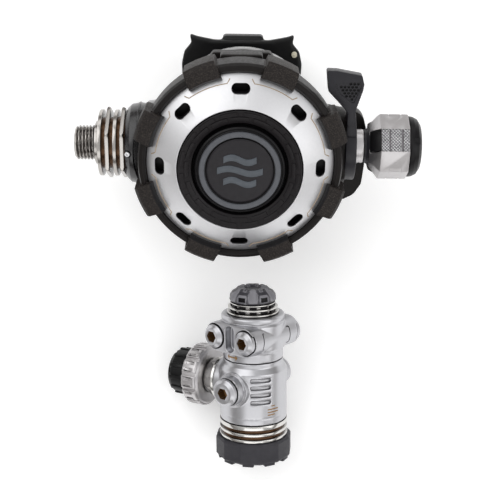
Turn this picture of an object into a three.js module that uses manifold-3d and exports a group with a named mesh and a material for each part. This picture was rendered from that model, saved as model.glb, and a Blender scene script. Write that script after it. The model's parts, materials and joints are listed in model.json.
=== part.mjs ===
// Scuba regulator set: a second stage lying on its back and a first stage lying beside it.
// Millimetres, +Z up. The origin is on the table top, under the middle of the set's box.
//
// Each stage is modelled in a frame of its own and then laid down:
//   second stage: X along the valve, Y from the front cover to the mouthpiece, Z to its top;
//   first stage:  Z along the body from the base cap to the top knob, -Y towards its front.

import * as THREE from 'three';
import { mergeVertices } from 'three/addons/utils/BufferGeometryUtils.js';
import Module from 'manifold-3d';

const wasm = await Module();
wasm.setup();

const rad = THREE.MathUtils.degToRad;

// facets around a round piece
const FINE = 20;
const ROUND = 14;
const SMALL = 8;

// ---------------------------------------------------------------- driving dimensions

const GAP = 0.3;                    // clearance between pieces that touch

// how the two stages lie on the table
const SECOND_TILT = 33;             // degrees between the front cover's normal and the vertical
const SECOND_YAW = -0.8;            // degrees that its valve turns on the table
const SECOND_PLACE = [0, 0];        // table position of the front cover's centre
const FIRST_LEAN = 20.4;            // degrees between the first stage's axis and the table
const FIRST_YAW = 0.5;              // degrees that its axis turns on the table
const FIRST_PLACE = [5.9, -115.4];  // table position of the base cap's centre

// second stage, front cover
const PLATE_INNER = 24.9;
const PLATE_OUTER = 37.2;
const PLATE_RIM = 37.7;             // radius at which the plate's front reaches y = 0
const PLATE_RISE = 8.2;
const PLATE_THICK = 1.3;
const SLOT_RADIUS = 31.9;
const SLOT_SIZE = [7.3, 4.3];
const PETALS = 8;                   // slots, grips and engraved bays around the cover
const RING_RADIUS = 41;
const GRIP_RADIUS = 43.2;
const GRIP_INNER = 35.8;
const BUTTON_RADIUS = 17.8;
const BUTTON_FACE = -8;

// second stage, valve along X
const VALVE_Y = 24.5;
const INLET_THREAD = 7.144;         // 9/16-18 UNF, major radius
const INLET_PITCH = 25.4 / 18;
const INLET_END = -68.9;
const FIN_START = -60.4;
const SLEEVE_END = -47.6;
const SCREW_X = -45.9;
const BARREL_RADIUS = 6.7;
const COLLAR_RADIUS = 14.5;
const COLLAR_SPAN = [43.7, 48.7];
const KNOB_RADIUS = 13.4;
const KNOB_SPAN = [54.6, 70.8];
const KNOB_LOBES = 3;
const KNOB_BAY = [12.4, 4.7];        // radius of a bay's flat floor and half its width

// second stage, rear
const BELL_RADIUS = 27;
const BELL_Z = 11.5;
const MOUTH_Z = 18;
const MOUTH_BORE = [24, 11];
const EXHAUST_Z = -24;
const EXHAUST_SEAT = 14.5;
const EXHAUST_FACE = 43.5;

// first stage, in nominal lengths that FIRST_SIZE brings to the real ones
const FIRST_SIZE = 0.88;
const CAP_RADIUS = 18.1;
const CAP_HEIGHT = 11.3;
const BODY_RADIUS = 16.1;
const BODY_SPAN = [19.9, 49.9];
const NECK_RADIUS = 14.4;
const TURRET_TURN = -43;            // degrees from the front to the turret's first pair of ports
const TURRET_BLOCK = [31, 14.5];    // width and height of the port block
const TURRET_BLOCK_Z = 61.6;
const TURRET_REACH = 16.5;
const TURRET_TOP = 71.8;
const LOW_PORT = 4.763 / FIRST_SIZE;    // 3/8-24 UNF, major radius
const LOW_PORT_SPACING = 19.4;
const HIGH_PORT = 5.556 / FIRST_SIZE;   // 7/16-20 UNF, major radius
const HIGH_PORT_Z = 37.3;
const HIGH_PORT_TURNS = [-38, 142];
const HIGH_BOSS_RADIUS = 7.1;
const HIGH_BOSS_REACH = 20.4;
const CONNECTION_Z = 36.5;          // height of the axis of the tank connection
const CONNECTION_TURN = 60;         // degrees that it turns from straight back towards the left
const WHEEL_RADIUS = 15;
const WHEEL_SPAN = [23.4, 32.6];
const TANK_THREAD = 9.6;

// ---------------------------------------------------------------- looks

const LOOKS = {
  satinSilver: { color: 0xb9b8bc, roughness: 0.38, metalness: 0.9 },
  polished: { color: 0xc9c6c2, roughness: 0.12, metalness: 1 },
  steel: { color: 0x9a9a9c, roughness: 0.3, metalness: 1 },
  brass: { color: 0xb08d4f, roughness: 0.35, metalness: 1 },
  blackGloss: { color: 0x17171a, roughness: 0.25, metalness: 0 },
  blackMatte: { color: 0x1d1d20, roughness: 0.6, metalness: 0 },
  slate: { color: 0x34333a, roughness: 0.5, metalness: 0 },
  warmRubber: { color: 0x3a3733, roughness: 0.85, metalness: 0 },
  blackRubber: { color: 0x141416, roughness: 0.7, metalness: 0 },
  greyRing: { color: 0x5b5d63, roughness: 0.45, metalness: 0.1 },
  charcoal: { color: 0x4b4b4f, roughness: 0.6, metalness: 0 },
};

// ---------------------------------------------------------------- geometry helpers

// Position-only copy with shared vertices and no collapsed triangles.
function welded(geometry) {
  const copy = geometry.clone();
  copy.deleteAttribute('normal');
  copy.deleteAttribute('uv');
  const merged = mergeVertices(copy, 1e-4);
  const corners = merged.index.array;
  const kept = [];
  for (let i = 0; i < corners.length; i += 3) {
    const [a, b, c] = [corners[i], corners[i + 1], corners[i + 2]];
    if (a !== b && b !== c && c !== a) kept.push(a, b, c);
  }
  merged.setIndex(kept);
  return merged;
}

function toSolid(geometry) {
  const mesh = welded(geometry);
  const vertProperties = new Float32Array(mesh.attributes.position.array);
  const triVerts = new Uint32Array(mesh.index.array);
  return new wasm.Manifold(new wasm.Mesh({ numProp: 3, vertProperties, triVerts }));
}

function toGeometry(solid) {
  const { vertProperties, triVerts } = solid.getMesh();
  const geometry = new THREE.BufferGeometry();
  geometry.setAttribute('position', new THREE.BufferAttribute(vertProperties, 3));
  geometry.setIndex(new THREE.BufferAttribute(triVerts, 1));
  return geometry;
}

function join(...geometries) {
  const [first, ...rest] = geometries.map(toSolid);
  return toGeometry(rest.reduce((sum, solid) => sum.add(solid), first));
}

function cut(base, ...tools) {
  return toGeometry(tools.map(toSolid).reduce((rest, tool) => rest.subtract(tool), toSolid(base)));
}

// Turn a geometry whose own axis is Y so that the axis lies along x, y or z.
function along(axis, geometry) {
  if (axis === 'x') return geometry.rotateZ(-Math.PI / 2);
  if (axis === 'z') return geometry.rotateX(Math.PI / 2);
  return geometry;
}

// Solid of revolution: the closed profile is a list of [radius, distance along the axis].
function turned(axis, profile, segments = ROUND) {
  const points = profile.map(([r, h]) => new THREE.Vector2(r, h));
  if (THREE.ShapeUtils.area(points) < 0) points.reverse();
  points.push(points[0].clone());
  return along(axis, new THREE.LatheGeometry(points, segments));
}

function rod(axis, radius, from, to, segments = ROUND) {
  return turned(axis, [[0, from], [radius, from], [radius, to], [0, to]], segments);
}

function tube(axis, inner, outer, from, to, segments = ROUND) {
  return turned(axis, [[inner, from], [outer, from], [outer, to], [inner, to]], segments);
}

// Extrusion of a flat shape: along z from the XY plane, along y from (x, z), along x from (y, z).
function prism(axis, shape, from, to, curveSegments = 3) {
  const geometry = new THREE.ExtrudeGeometry(shape, {
    depth: to - from, bevelEnabled: false, curveSegments,
  });
  if (axis === 'z') return geometry.translate(0, 0, from);
  if (axis === 'y') return geometry.rotateX(Math.PI / 2).translate(0, to, 0);
  const basis = new THREE.Matrix4().makeBasis(
    new THREE.Vector3(0, 1, 0), new THREE.Vector3(0, 0, 1), new THREE.Vector3(1, 0, 0),
  );
  return geometry.applyMatrix4(basis).translate(from, 0, 0);
}

function box(low, high) {
  const size = high.map((value, i) => value - low[i]);
  const middle = high.map((value, i) => (value + low[i]) / 2);
  return new THREE.BoxGeometry(...size).translate(...middle);
}

const outline = (points) => new THREE.Shape(points.map(([x, y]) => new THREE.Vector2(x, y)));

function polygon(sides, radius, turn = 0) {
  const corner = (i) => rad(turn + (360 * i) / sides);
  const points = Array.from({ length: sides }, (_, i) => [
    radius * Math.cos(corner(i)), radius * Math.sin(corner(i)),
  ]);
  return outline(points);
}

function obround(length, width, x = 0, y = 0) {
  const half = (length - width) / 2;
  const shape = new THREE.Shape();
  shape.absarc(x + half, y, width / 2, -Math.PI / 2, Math.PI / 2, false);
  shape.absarc(x - half, y, width / 2, Math.PI / 2, (3 * Math.PI) / 2, false);
  return shape;
}

function sector(inner, outer, middle, half) {
  const shape = new THREE.Shape();
  shape.absarc(0, 0, outer, rad(middle - half), rad(middle + half), false);
  shape.absarc(0, 0, inner, rad(middle + half), rad(middle - half), true);
  return shape;
}

class Helix extends THREE.Curve {
  constructor(radius, from, to, turns) {
    super();
    Object.assign(this, { radius, from, to, turns });
  }

  getPoint(t, target = new THREE.Vector3()) {
    const angle = 2 * Math.PI * this.turns * t;
    const height = this.from + (this.to - this.from) * t;
    return target.set(this.radius * Math.cos(angle), height, this.radius * Math.sin(angle));
  }
}

// Coil spring of round wire about an axis, between two heights measured to the wire's outside.
function spring(axis, radius, wire, from, to, turns) {
  const path = new Helix(radius, from + wire, to - wire, turns);
  const section = polygon(5, wire);
  const steps = Math.round(turns * 7);
  const coil = new THREE.ExtrudeGeometry(section, { steps, extrudePath: path, bevelEnabled: false });
  return along(axis, coil);
}

// Copies of a geometry at equal turns about an axis, the first one turned by offset degrees.
function around(axis, count, geometry, offset = 0) {
  const turn = { x: 'rotateX', y: 'rotateY', z: 'rotateZ' }[axis];
  const turned = (i) => geometry.clone()[turn](rad(offset + (360 * i) / count));
  return Array.from({ length: count }, (_, i) => turned(i));
}

function piece(group, name, geometry, look) {
  const mesh = new THREE.Mesh(geometry, new THREE.MeshStandardMaterial(look));
  mesh.name = name;
  group.add(mesh);
  return mesh;
}

// ---------------------------------------------------------------- second stage: front cover

const plateFront = (r) => ((r - PLATE_INNER) / (PLATE_RIM - PLATE_INNER) - 1) * PLATE_RISE;

function coverSlots() {
  const slot = prism('y', obround(...SLOT_SIZE), -12, 9).translate(0, 0, SLOT_RADIUS);
  return around('y', PETALS, slot);
}

function faceplate() {
  const [inner, outer] = [PLATE_INNER, PLATE_OUTER];
  const ring = turned('y', [
    [inner, plateFront(inner)], [outer, plateFront(outer)],
    [outer, plateFront(outer) + PLATE_THICK], [inner, plateFront(inner) + PLATE_THICK],
  ], FINE);
  return cut(ring, ...coverSlots());
}

function frontCover() {
  const behind = PLATE_THICK + GAP;
  const lip = PLATE_INNER - GAP;
  const shell = turned('y', [
    [19, -7.2], [20.2, -8.5], [lip, -8.7], [lip, plateFront(lip) + behind],
    [37, plateFront(37) + behind], [37, 7], [34.5, 7], [34.5, 3], [24, -4.2], [19, -4.2],
  ], FINE);
  return cut(shell, ...coverSlots());
}

function bumperRing() {
  const seat = plateFront(37.5) - 0.4;
  const band = turned('y', [
    [37.5, -0.9], [38.5, -2], [40.4, -1.2], [RING_RADIUS, 0.6], [RING_RADIUS, 10.6],
    [40.2, 11.6], [38.9, 11.6], [38.9, 7], [37.5, 7],
  ], FINE);
  const grips = around('y', PETALS, prism('y', sector(GRIP_INNER, GRIP_RADIUS, 90, 11.5), -3.8, 10), 22.5);
  const seatSpace = turned('y', [
    [30, plateFront(30) - 0.4], [37.5, seat], [37.5, 7], [38.9, 7], [38.9, 13], [30, 13],
  ], FINE);
  return join(band, cut(join(...grips), seatSpace));
}

function purgeButton() {
  return turned('y', [
    [0, BUTTON_FACE], [16.2, BUTTON_FACE], [BUTTON_RADIUS, -7], [BUTTON_RADIUS, -3.8], [20.6, -3.8],
    [20.6, -2.6], [16, -2.6], [16, -5.6], [3, -5.6], [3, 5.9], [0, 5.9],
  ], FINE);
}

function springCarrier() {
  const disc = tube('y', 3.6, 34.2, 3.3, 4.3, FINE);
  const window = rod('y', 7.5, 2, 6, SMALL).translate(0, 0, 20);
  return cut(disc, ...around('y', 6, window));
}

function frontParts(group) {
  piece(group, 'faceplate', faceplate(), LOOKS.satinSilver);
  piece(group, 'front_cover', frontCover(), LOOKS.blackMatte);
  piece(group, 'bumper_ring', bumperRing(), LOOKS.warmRubber);
  piece(group, 'purge_button', purgeButton(), LOOKS.blackMatte);
  piece(group, 'button_ring', tube('y', 13.6, 16, -9.1, BUTTON_FACE - GAP, ROUND), LOOKS.greyRing);
  piece(group, 'emblem_disc', rod('y', 13.3, -8.9, BUTTON_FACE - GAP, ROUND), LOOKS.blackGloss);
  piece(group, 'purge_spring', spring('y', 5.5, 0.5, -5.2, 2.9, 5), LOOKS.steel);
  piece(group, 'spring_carrier', springCarrier(), LOOKS.blackMatte);
  const diaphragm = turned('y', [
    [0, 6.2], [26, 6.2], [30, 7.3], [36.6, 7.3], [36.6, 8.3], [29.5, 8.3], [25.5, 7.2], [0, 7.2],
  ], FINE);
  piece(group, 'diaphragm', diaphragm, LOOKS.blackRubber);
  piece(group, 'diaphragm_disc', rod('y', 13, 7.5, 8.3), LOOKS.steel);
}

// ---------------------------------------------------------------- second stage: case and rear

// Guard behind the lever's collar, drawn in (x, z).
function leverGuard() {
  const guard = prism('y', outline([
    [30, -30], [38, -29], [44, -25.5], [49, -19], [52.3, -11], [52.3, -1], [49.5, 5], [44, 8], [30, 8],
  ]), 32, 40);
  return cut(guard, rod('x', COLLAR_RADIUS + 0.6, 43.2, 60).translate(0, VALVE_Y, 0));
}

function stageCase() {
  const cup = turned('y', [
    [33.5, 8.6], [38.5, 8.6], [38.5, 13], [36.5, 22], [33, 31], [26, 38], [16, 42], [0, 43],
  ], FINE);
  const bell = turned('y', [
    [0, 20], [BELL_RADIUS, 20], [BELL_RADIUS, 33], [24.5, 36], [24.5, 40], [18, 44], [0, 44],
  ]).translate(0, 0, BELL_Z);
  const brow = prism('y', outline([[-15, 26], [15, 26], [12.5, 40.5], [-12.5, 40.5]]), 14, 30);
  const leftBoss = turned('x', [
    [0, -44], [12, -44], [12, -38.9], [18, -38.9], [19, -30], [17, -20], [15.5, 0], [0, 0],
  ]).translate(0, VALVE_Y, 0);
  const rightBoss = turned('x', [
    [0, 0], [15.5, 0], [17, 20], [19, 30], [17, 38], [16, 43.4], [0, 43.4],
  ]).translate(0, VALVE_Y, 0);
  const mouthTube = prism('y', obround(30, 17, 0, MOUTH_Z), 40, 60, 5);
  const exhaustSeat = rod('y', EXHAUST_SEAT, 26, EXHAUST_FACE).translate(0, 0, EXHAUST_Z);

  const inside = turned('y', [
    [0, 7], [33.5, 7], [33.5, 14], [31.5, 22], [28, 29.5], [22, 36], [14, 39.5], [0, 40.2],
  ], FINE);
  const bellInside = rod('y', BELL_RADIUS - 3.5, 21, 33).translate(0, 0, BELL_Z);
  const coverSpace = turned('y', [
    [0, -20], [60, -20], [60, 12], [38.5, 12], [38.5, 8.6], [0, 8.6],
  ], FINE);
  const barrelBore = rod('x', BARREL_RADIUS + GAP, -50, 50).translate(0, VALVE_Y, 0);
  const mouthBore = prism('y', obround(...MOUTH_BORE, 0, MOUTH_Z), 30, 70, 5);
  const exhaustBore = rod('y', 9, 24, 50).translate(0, 0, EXHAUST_Z);
  const whole = join(cup, bell, brow, leftBoss, rightBoss, leverGuard(), mouthTube, exhaustSeat);
  return cut(whole, coverSpace, inside, bellInside, barrelBore, mouthBore, exhaustBore);
}

// Soft mouthpiece: a neck over the case's tube, a lip shield and two bite wings.
function mouthpiece() {
  const neck = prism('y', obround(34.5, 21.5, 0, MOUTH_Z), 46.5, 66, 5);
  const shield = prism('z', outline([
    [-27, 62], [-20, 65], [20, 65], [27, 62], [27, 65.5], [20, 69], [-20, 69], [-27, 65.5],
  ]), MOUTH_Z - 11, MOUTH_Z + 13);
  const root = prism('y', obround(40, 17, 0, MOUTH_Z), 68, 78, 5);
  const wing = prism('y', obround(14, 4, 0, 0), 74, 88, 6);
  const sides = [-1, 1];
  const wings = sides.map((side) => (
    wing.clone().rotateY(rad(-14 * side)).translate(17 * side, 0, MOUTH_Z)));
  const stops = sides.map((side) => (
    box([17 * side - 6, 85, MOUTH_Z - 6], [17 * side + 6, 88, MOUTH_Z + 8])));
  const neckSpace = prism('y', obround(30 + 2 * GAP, 17 + 2 * GAP, 0, MOUTH_Z), 46, 60 + GAP, 5);
  const bore = prism('y', obround(...MOUTH_BORE, 0, MOUTH_Z), 55, 80, 5);
  return cut(join(neck, shield, root, ...wings, ...stops), neckSpace, bore);
}

// Exhaust tee: a cap over the exhaust seat with an outlet to each side.
function exhaustTee() {
  const collar = rod('y', EXHAUST_SEAT + 3.5, 35, 49).translate(0, 0, EXHAUST_Z);
  const duct = [-1, 1].map((side) => prism('x', outline([
    [36, -44], [47, -47.5], [51.6, -43.9], [53, -34], [50, -24], [36, -22],
  ]), side < 0 ? -29.5 : 0, side < 0 ? 0 : 29.5));
  const seatSpace = rod('y', EXHAUST_SEAT + GAP, 33, EXHAUST_FACE + GAP).translate(0, 0, EXHAUST_Z);
  const bellSpace = turned('y', [
    [0, 15], [27.5, 15], [27.5, 33.2], [25, 36.2], [25, 40.2], [18.5, 44.4], [0, 44.4],
  ], FINE).translate(0, 0, BELL_Z);
  const caseSpace = turned('y', [
    [0, 20], [37.4, 20], [33.8, 31], [26.6, 38.4], [16.4, 42.4], [0, 43.4],
  ], FINE);
  const passage = prism('x', outline([
    [39.5, -41.5], [46.5, -44.5], [49.4, -42], [50.4, -34], [48, -26.5], [39.5, -25],
  ]), -32, 32);
  const inlet = rod('y', 13, 40, 46.5).translate(0, 0, EXHAUST_Z);
  return cut(join(collar, ...duct), seatSpace, bellSpace, caseSpace, passage, inlet);
}

function rearParts(group) {
  piece(group, 'second_stage_case', stageCase(), LOOKS.blackGloss);
  piece(group, 'mouthpiece', mouthpiece(), LOOKS.blackRubber);
  const tie = cut(
    prism('y', obround(38.5, 25.5, 0, MOUTH_Z), 51, 55.5, 5),
    prism('y', obround(34.5 + 2 * GAP, 21.5 + 2 * GAP, 0, MOUTH_Z), 50, 56, 5),
  );
  piece(group, 'mouthpiece_clamp', tie, LOOKS.blackMatte);
  piece(group, 'exhaust_tee', exhaustTee(), LOOKS.blackRubber);
  const flap = rod('y', 11, EXHAUST_FACE + GAP, EXHAUST_FACE + 1.2).translate(0, 0, EXHAUST_Z);
  piece(group, 'exhaust_valve', flap, LOOKS.blackRubber);
}

// ---------------------------------------------------------------- second stage: valve

function inletFitting() {
  const profile = [[2, INLET_END], [6.3, INLET_END]];
  const ridges = 6;
  for (let i = 0; i < ridges; i += 1) {
    const start = INLET_END + i * INLET_PITCH;
    profile.push([INLET_THREAD, start + 0.4 * INLET_PITCH], [INLET_THREAD, start + 0.6 * INLET_PITCH]);
    profile.push([6.3, start + INLET_PITCH]);
  }
  profile.push([9, FIN_START], [9, -44.2], [2, -44.2]);
  return turned('x', profile);
}

// Heat exchanger: a sleeve with three round fins.
function finStack() {
  const fins = [[-60.1, -58.6], [-57, -55.5], [-53.9, -52.4]];
  const profile = [[9.3, fins[0][0]]];
  for (const [from, to] of fins) profile.push([13.5, from], [13.5, to], [10.8, to], [10.8, to + 1.6]);
  profile.splice(-2);
  profile.push([9.3, -52.4]);
  return turned('x', profile);
}

function finNut() {
  const nut = prism('x', polygon(6, 15, 30), -52.1, -49.6);
  const collar = rod('x', 11.5, -49.6, SLEEVE_END - GAP);
  return cut(join(nut, collar), rod('x', 9.3, -53, -47));
}

// Dark sleeve over the case's left boss.
function inletSleeve() {
  const shell = turned('x', [
    [9.4, SLEEVE_END], [14.8, SLEEVE_END], [16.6, -45.6], [17, -42], [16.8, -39.2], [12.3, -39.2],
    [12.3, -44.3], [9.4, -44.3],
  ]);
  const ringSpace = rod('y', GRIP_RADIUS + 0.6, -20, 12, FINE).translate(0, -VALVE_Y, 0);
  return cut(shell, ringSpace, rod('y', 1.4, -20, -13.6, SMALL).translate(SCREW_X, 0, 0));
}

function valveBarrel() {
  const shell = tube('x', 5, BARREL_RADIUS, -43.9, 40, ROUND);
  const leverWindow = box([10, -8, -5], [19, -3.2, 5]);
  const airPort = rod('y', 3, 0, 9, SMALL).translate(-4, 0, 0);
  return cut(shell, leverWindow, airPort);
}

function orifice() {
  return turned('x', [[1.5, -43.9], [4.6, -43.9], [4.6, -28], [2.6, -26], [1.5, -26]], SMALL);
}

function poppet() {
  return turned('x', [
    [0, -25.6], [3.4, -25.6], [4.6, -24.6], [4.6, -21.5], [2.2, -21.5], [2.2, 15.5], [4.6, 15.5],
    [4.6, 17.1], [2, 17.1], [2, 24], [0, 24],
  ], SMALL);
}

// Bent strip from the poppet's shoulder to the middle of the diaphragm, drawn in (x, y).
function demandLever() {
  const strip = outline([
    [17, 14.5], [17, 15.9], [15.4, 16], [15, 20.9], [13.6, 20.9], [13.4, 15.6], [1.6, 9.8],
    [-2.5, 9.8], [-2.5, 8.8], [2, 8.8], [14.2, 14.2],
  ]);
  return prism('z', strip, -4, 4);
}

function adjusterStem() {
  return turned('x', [[0, 34], [4.4, 34], [4.4, 38], [3.6, 38], [3.6, 65.6], [0, 65.6]], SMALL);
}

function barrelNut() {
  return tube('x', 4.9, 7, 40.3, 53.2, ROUND);
}

// Knob neck: a dark collar that the knob's mouth turns around.
function knobNeck() {
  return turned('x', [[3.9, 53.5], [8.4, 53.5], [9.9, 55], [9.9, 59.6], [3.9, 59.6]], ROUND);
}

// Round knob with flat bays between its lobes.
function adjustmentKnob() {
  const [from, to] = KNOB_SPAN;
  const shell = turned('x', [
    [0, 60], [10.3, 60], [10.3, from + 0.6], [11, from], [KNOB_RADIUS, from + 3.2],
    [KNOB_RADIUS, to - 0.6], [12.8, to], [0, to],
  ], FINE);
  const [floor, half] = KNOB_BAY;
  const bay = box([from + 4.4, floor, -half], [to + 1, KNOB_RADIUS + 3, half]);
  const bore = rod('x', 3.9, 59, 66, SMALL);
  return cut(shell, ...around('x', KNOB_LOBES, bay, 150), bore);
}

function knobCap() {
  return turned('x', [
    [0, KNOB_SPAN[1] + GAP], [11.6, KNOB_SPAN[1] + GAP], [11.8, 72.4], [11, 74.4], [9, 75.4], [0, 75.4],
  ], ROUND);
}

// Lever with a collar about the valve and a thumb paddle, drawn in (x, z).
function venturiLever() {
  const collar = tube('x', 7.4, COLLAR_RADIUS, ...COLLAR_SPAN, ROUND);
  const arm = prism('y', outline([[43.7, 12], [48.7, 12], [49, 18], [43.7, 18]]), -12, -5);
  const paddle = prism('y', outline([
    [44, 15], [48.6, 15], [52.4, 23.6], [51.6, 29], [36.4, 32], [36.2, 24.5], [39.6, 18.6],
  ]), -13.6, -7.6);
  return join(collar, arm, paddle).translate(0, VALVE_Y, 0);
}

function valveParts(group) {
  const valve = new THREE.Group();
  valve.position.set(0, VALVE_Y, 0);
  group.add(valve);
  piece(valve, 'inlet_fitting', inletFitting(), LOOKS.polished);
  piece(valve, 'heat_exchanger', finStack(), LOOKS.polished);
  piece(valve, 'heat_exchanger_nut', finNut(), LOOKS.polished);
  piece(valve, 'inlet_sleeve', inletSleeve(), LOOKS.blackGloss);
  const screw = rod('y', 1, -16.9, -13.6 - GAP, SMALL).translate(SCREW_X, 0, 0);
  piece(valve, 'sleeve_screw', screw, LOOKS.steel);
  piece(valve, 'valve_barrel', valveBarrel(), LOOKS.brass);
  piece(valve, 'orifice', orifice(), LOOKS.steel);
  piece(valve, 'poppet', poppet(), LOOKS.blackMatte);
  piece(valve, 'poppet_spring', spring('x', 3.6, 0.5, 18.4, 33.6, 5), LOOKS.steel);
  piece(valve, 'adjuster_stem', adjusterStem(), LOOKS.brass);
  const seal = new THREE.TorusGeometry(4.25, 0.32, 6, ROUND).rotateY(Math.PI / 2).translate(46, 0, 0);
  piece(valve, 'stem_seal', seal, LOOKS.blackRubber);
  piece(valve, 'barrel_nut', barrelNut(), LOOKS.polished);
  piece(valve, 'knob_neck', knobNeck(), LOOKS.slate);
  piece(valve, 'adjustment_knob', adjustmentKnob(), LOOKS.satinSilver);
  piece(valve, 'knob_cap', knobCap(), LOOKS.blackMatte);
  piece(group, 'demand_lever', demandLever(), LOOKS.steel);
  piece(group, 'venturi_lever', venturiLever(), LOOKS.slate);
}

// ---------------------------------------------------------------- first stage

const HEX_SOCKET = 2.3;             // corner radius of a 4 mm hexagon socket

function portPlug(headRadius, headHeight, shankRadius, shankLength) {
  const plug = turned('y', [
    [0, shankLength], [shankRadius, shankLength], [shankRadius, 0], [headRadius, 0],
    [headRadius, -0.6 * headHeight], [headRadius - 1.4, -headHeight], [0, -headHeight],
  ], ROUND);
  return cut(plug, prism('y', polygon(6, HEX_SOCKET), -headHeight - 1, 1.5));
}

function lowPorts() {
  const ports = [];
  for (const side of [-1, 1]) {
    for (const x of [-LOW_PORT_SPACING / 2, LOW_PORT_SPACING / 2]) ports.push([side, x]);
  }
  return ports;
}

function turret() {
  const core = turned('z', [
    [0, BODY_SPAN[1] + GAP], [NECK_RADIUS, BODY_SPAN[1] + GAP], [NECK_RADIUS, 54.6], [15.4, 56],
    [15.4, 68], [15, 69.4], [15, 71], [14.2, TURRET_TOP], [0, TURRET_TOP],
  ], FINE);
  const block = prism('y', obround(...TURRET_BLOCK, 0, TURRET_BLOCK_Z), -TURRET_REACH, TURRET_REACH, 5);
  const cutters = [rod('z', 5.3, 45, 75, ROUND)];
  for (const [side, x] of lowPorts()) {
    const port = turned('y', [
      [0, 6.5], [LOW_PORT, 6.5], [LOW_PORT, 14.8], [6, 14.8], [6, 18], [0, 18],
    ]);
    cutters.push(port.rotateZ(side < 0 ? Math.PI : 0).translate(x, 0, TURRET_BLOCK_Z));
  }
  for (const side of [-1, 1]) {
    const window = obround(9.5, 4.2);
    const recess = prism('y', window, 12.5, 18).rotateY(Math.PI / 2).rotateZ(side < 0 ? Math.PI : 0);
    cutters.push(recess.translate(0, 0, TURRET_BLOCK_Z));
  }
  return cut(join(core, block), ...cutters);
}

function turretParts(group) {
  const head = new THREE.Group();
  head.rotation.z = rad(TURRET_TURN);
  group.add(head);
  piece(head, 'turret', turret(), LOOKS.satinSilver);
  lowPorts().forEach(([side, x], i) => {
    const plug = portPlug(5.6, 3.6, LOW_PORT - 0.5, 7.2).rotateZ(side < 0 ? 0 : Math.PI);
    plug.translate(x, side * (14.8 + GAP), TURRET_BLOCK_Z);
    piece(head, `low_pressure_plug_${i + 1}`, plug, LOOKS.satinSilver);
  });
}

function turretBolt() {
  const top = TURRET_TOP + GAP;
  return turned('z', [
    [0, 47], [5, 47], [5, top], [11.2, top], [11.2, 73.4], [9.6, 73.8], [9.6, 74.6], [11.3, 75],
    [11.3, 76.2], [9.6, 76.6], [9.6, 77.2], [10.9, 77.5], [10.9, 78.3], [0, 78.3],
  ], ROUND);
}

function topKnob() {
  const dome = turned('z', [
    [0, 78.6], [9, 78.6], [10.2, 79.8], [10.4, 82.4], [8.6, 84.6], [6.8, 85.8], [3.4, 85.8],
    [3.4, 84.8], [0, 84.8],
  ], ROUND);
  const window = box([9.2, -1.9, 80.6], [12, 1.9, 82.6]);
  const notch = box([4.4, -1.1, 84.6], [9, 1.1, 87]);
  return cut(dome, ...around('z', 6, window), ...around('z', 6, notch, 30));
}

function firstStageBody() {
  const [from, to] = BODY_SPAN;
  const core = turned('z', [
    [13.3, from + GAP], [BODY_RADIUS, from + GAP], [BODY_RADIUS, 45], [NECK_RADIUS, 47.5],
    [NECK_RADIUS, to], [0, to], [0, 30.6], [9, 30.6], [9, 27.9], [13.3, 27.9],
  ], FINE);
  const bosses = HIGH_PORT_TURNS.map((turn) => (
    rod('y', HIGH_BOSS_RADIUS, -HIGH_BOSS_REACH, -13.6)
      .rotateZ(rad(turn)).translate(0, 0, HIGH_PORT_Z)));
  const pad = rod('y', 10.4, 13.6, 16.8).rotateZ(rad(CONNECTION_TURN)).translate(0, 0, CONNECTION_Z);
  const ports = HIGH_PORT_TURNS.map((turn) => (
    rod('y', HIGH_PORT, -HIGH_BOSS_REACH - 1, -11.5)
      .rotateZ(rad(turn)).translate(0, 0, HIGH_PORT_Z)));
  const inlet = rod('y', 4.5, 2, 18, SMALL).rotateZ(rad(CONNECTION_TURN)).translate(0, 0, CONNECTION_Z);
  const grooves = [31, 35.6, 39.6, 43.6].map((z) => {
    const ring = tube('z', 15.2, 17.5, z, z + 1.8, FINE);
    return cut(ring, box([-20, -20, z - 1], [1, 20, z + 3]), box([0, 6, z - 1], [20, 20, z + 3]));
  });
  const spindleBore = rod('z', 3.2, 29, 44.5, SMALL);
  const boltBore = rod('z', 5.3, 46.5, to + 1, ROUND);
  return cut(join(core, ...bosses, pad), ...ports, inlet, ...grooves, spindleBore, boltBore);
}

function clampRing() {
  return turned('z', [
    [11, CAP_HEIGHT + GAP], [16.3, CAP_HEIGHT + GAP], [16.3, 12.8], [15, 13.2], [15, 14.6], [16.3, 15],
    [16.3, 15.8], [15, 16.2], [15, 17.6], [16.3, 18], [16.3, BODY_SPAN[0]], [13, BODY_SPAN[0]],
    [13, 26.3], [11, 26.3],
  ], FINE);
}

function baseCap() {
  const cup = turned('z', [
    [8, 1.5], [12, 1.5], [13, 0], [17, 0], [CAP_RADIUS, 1.4], [CAP_RADIUS, CAP_HEIGHT - 1],
    [17.4, CAP_HEIGHT], [12.4, CAP_HEIGHT], [12.4, 5.4], [8, 5.4],
  ], FINE);
  const notch = box([15.6, -3.2, -1], [20, 3.2, 1.6]);
  return cut(cup, ...around('z', 9, notch, 20));
}

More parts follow.
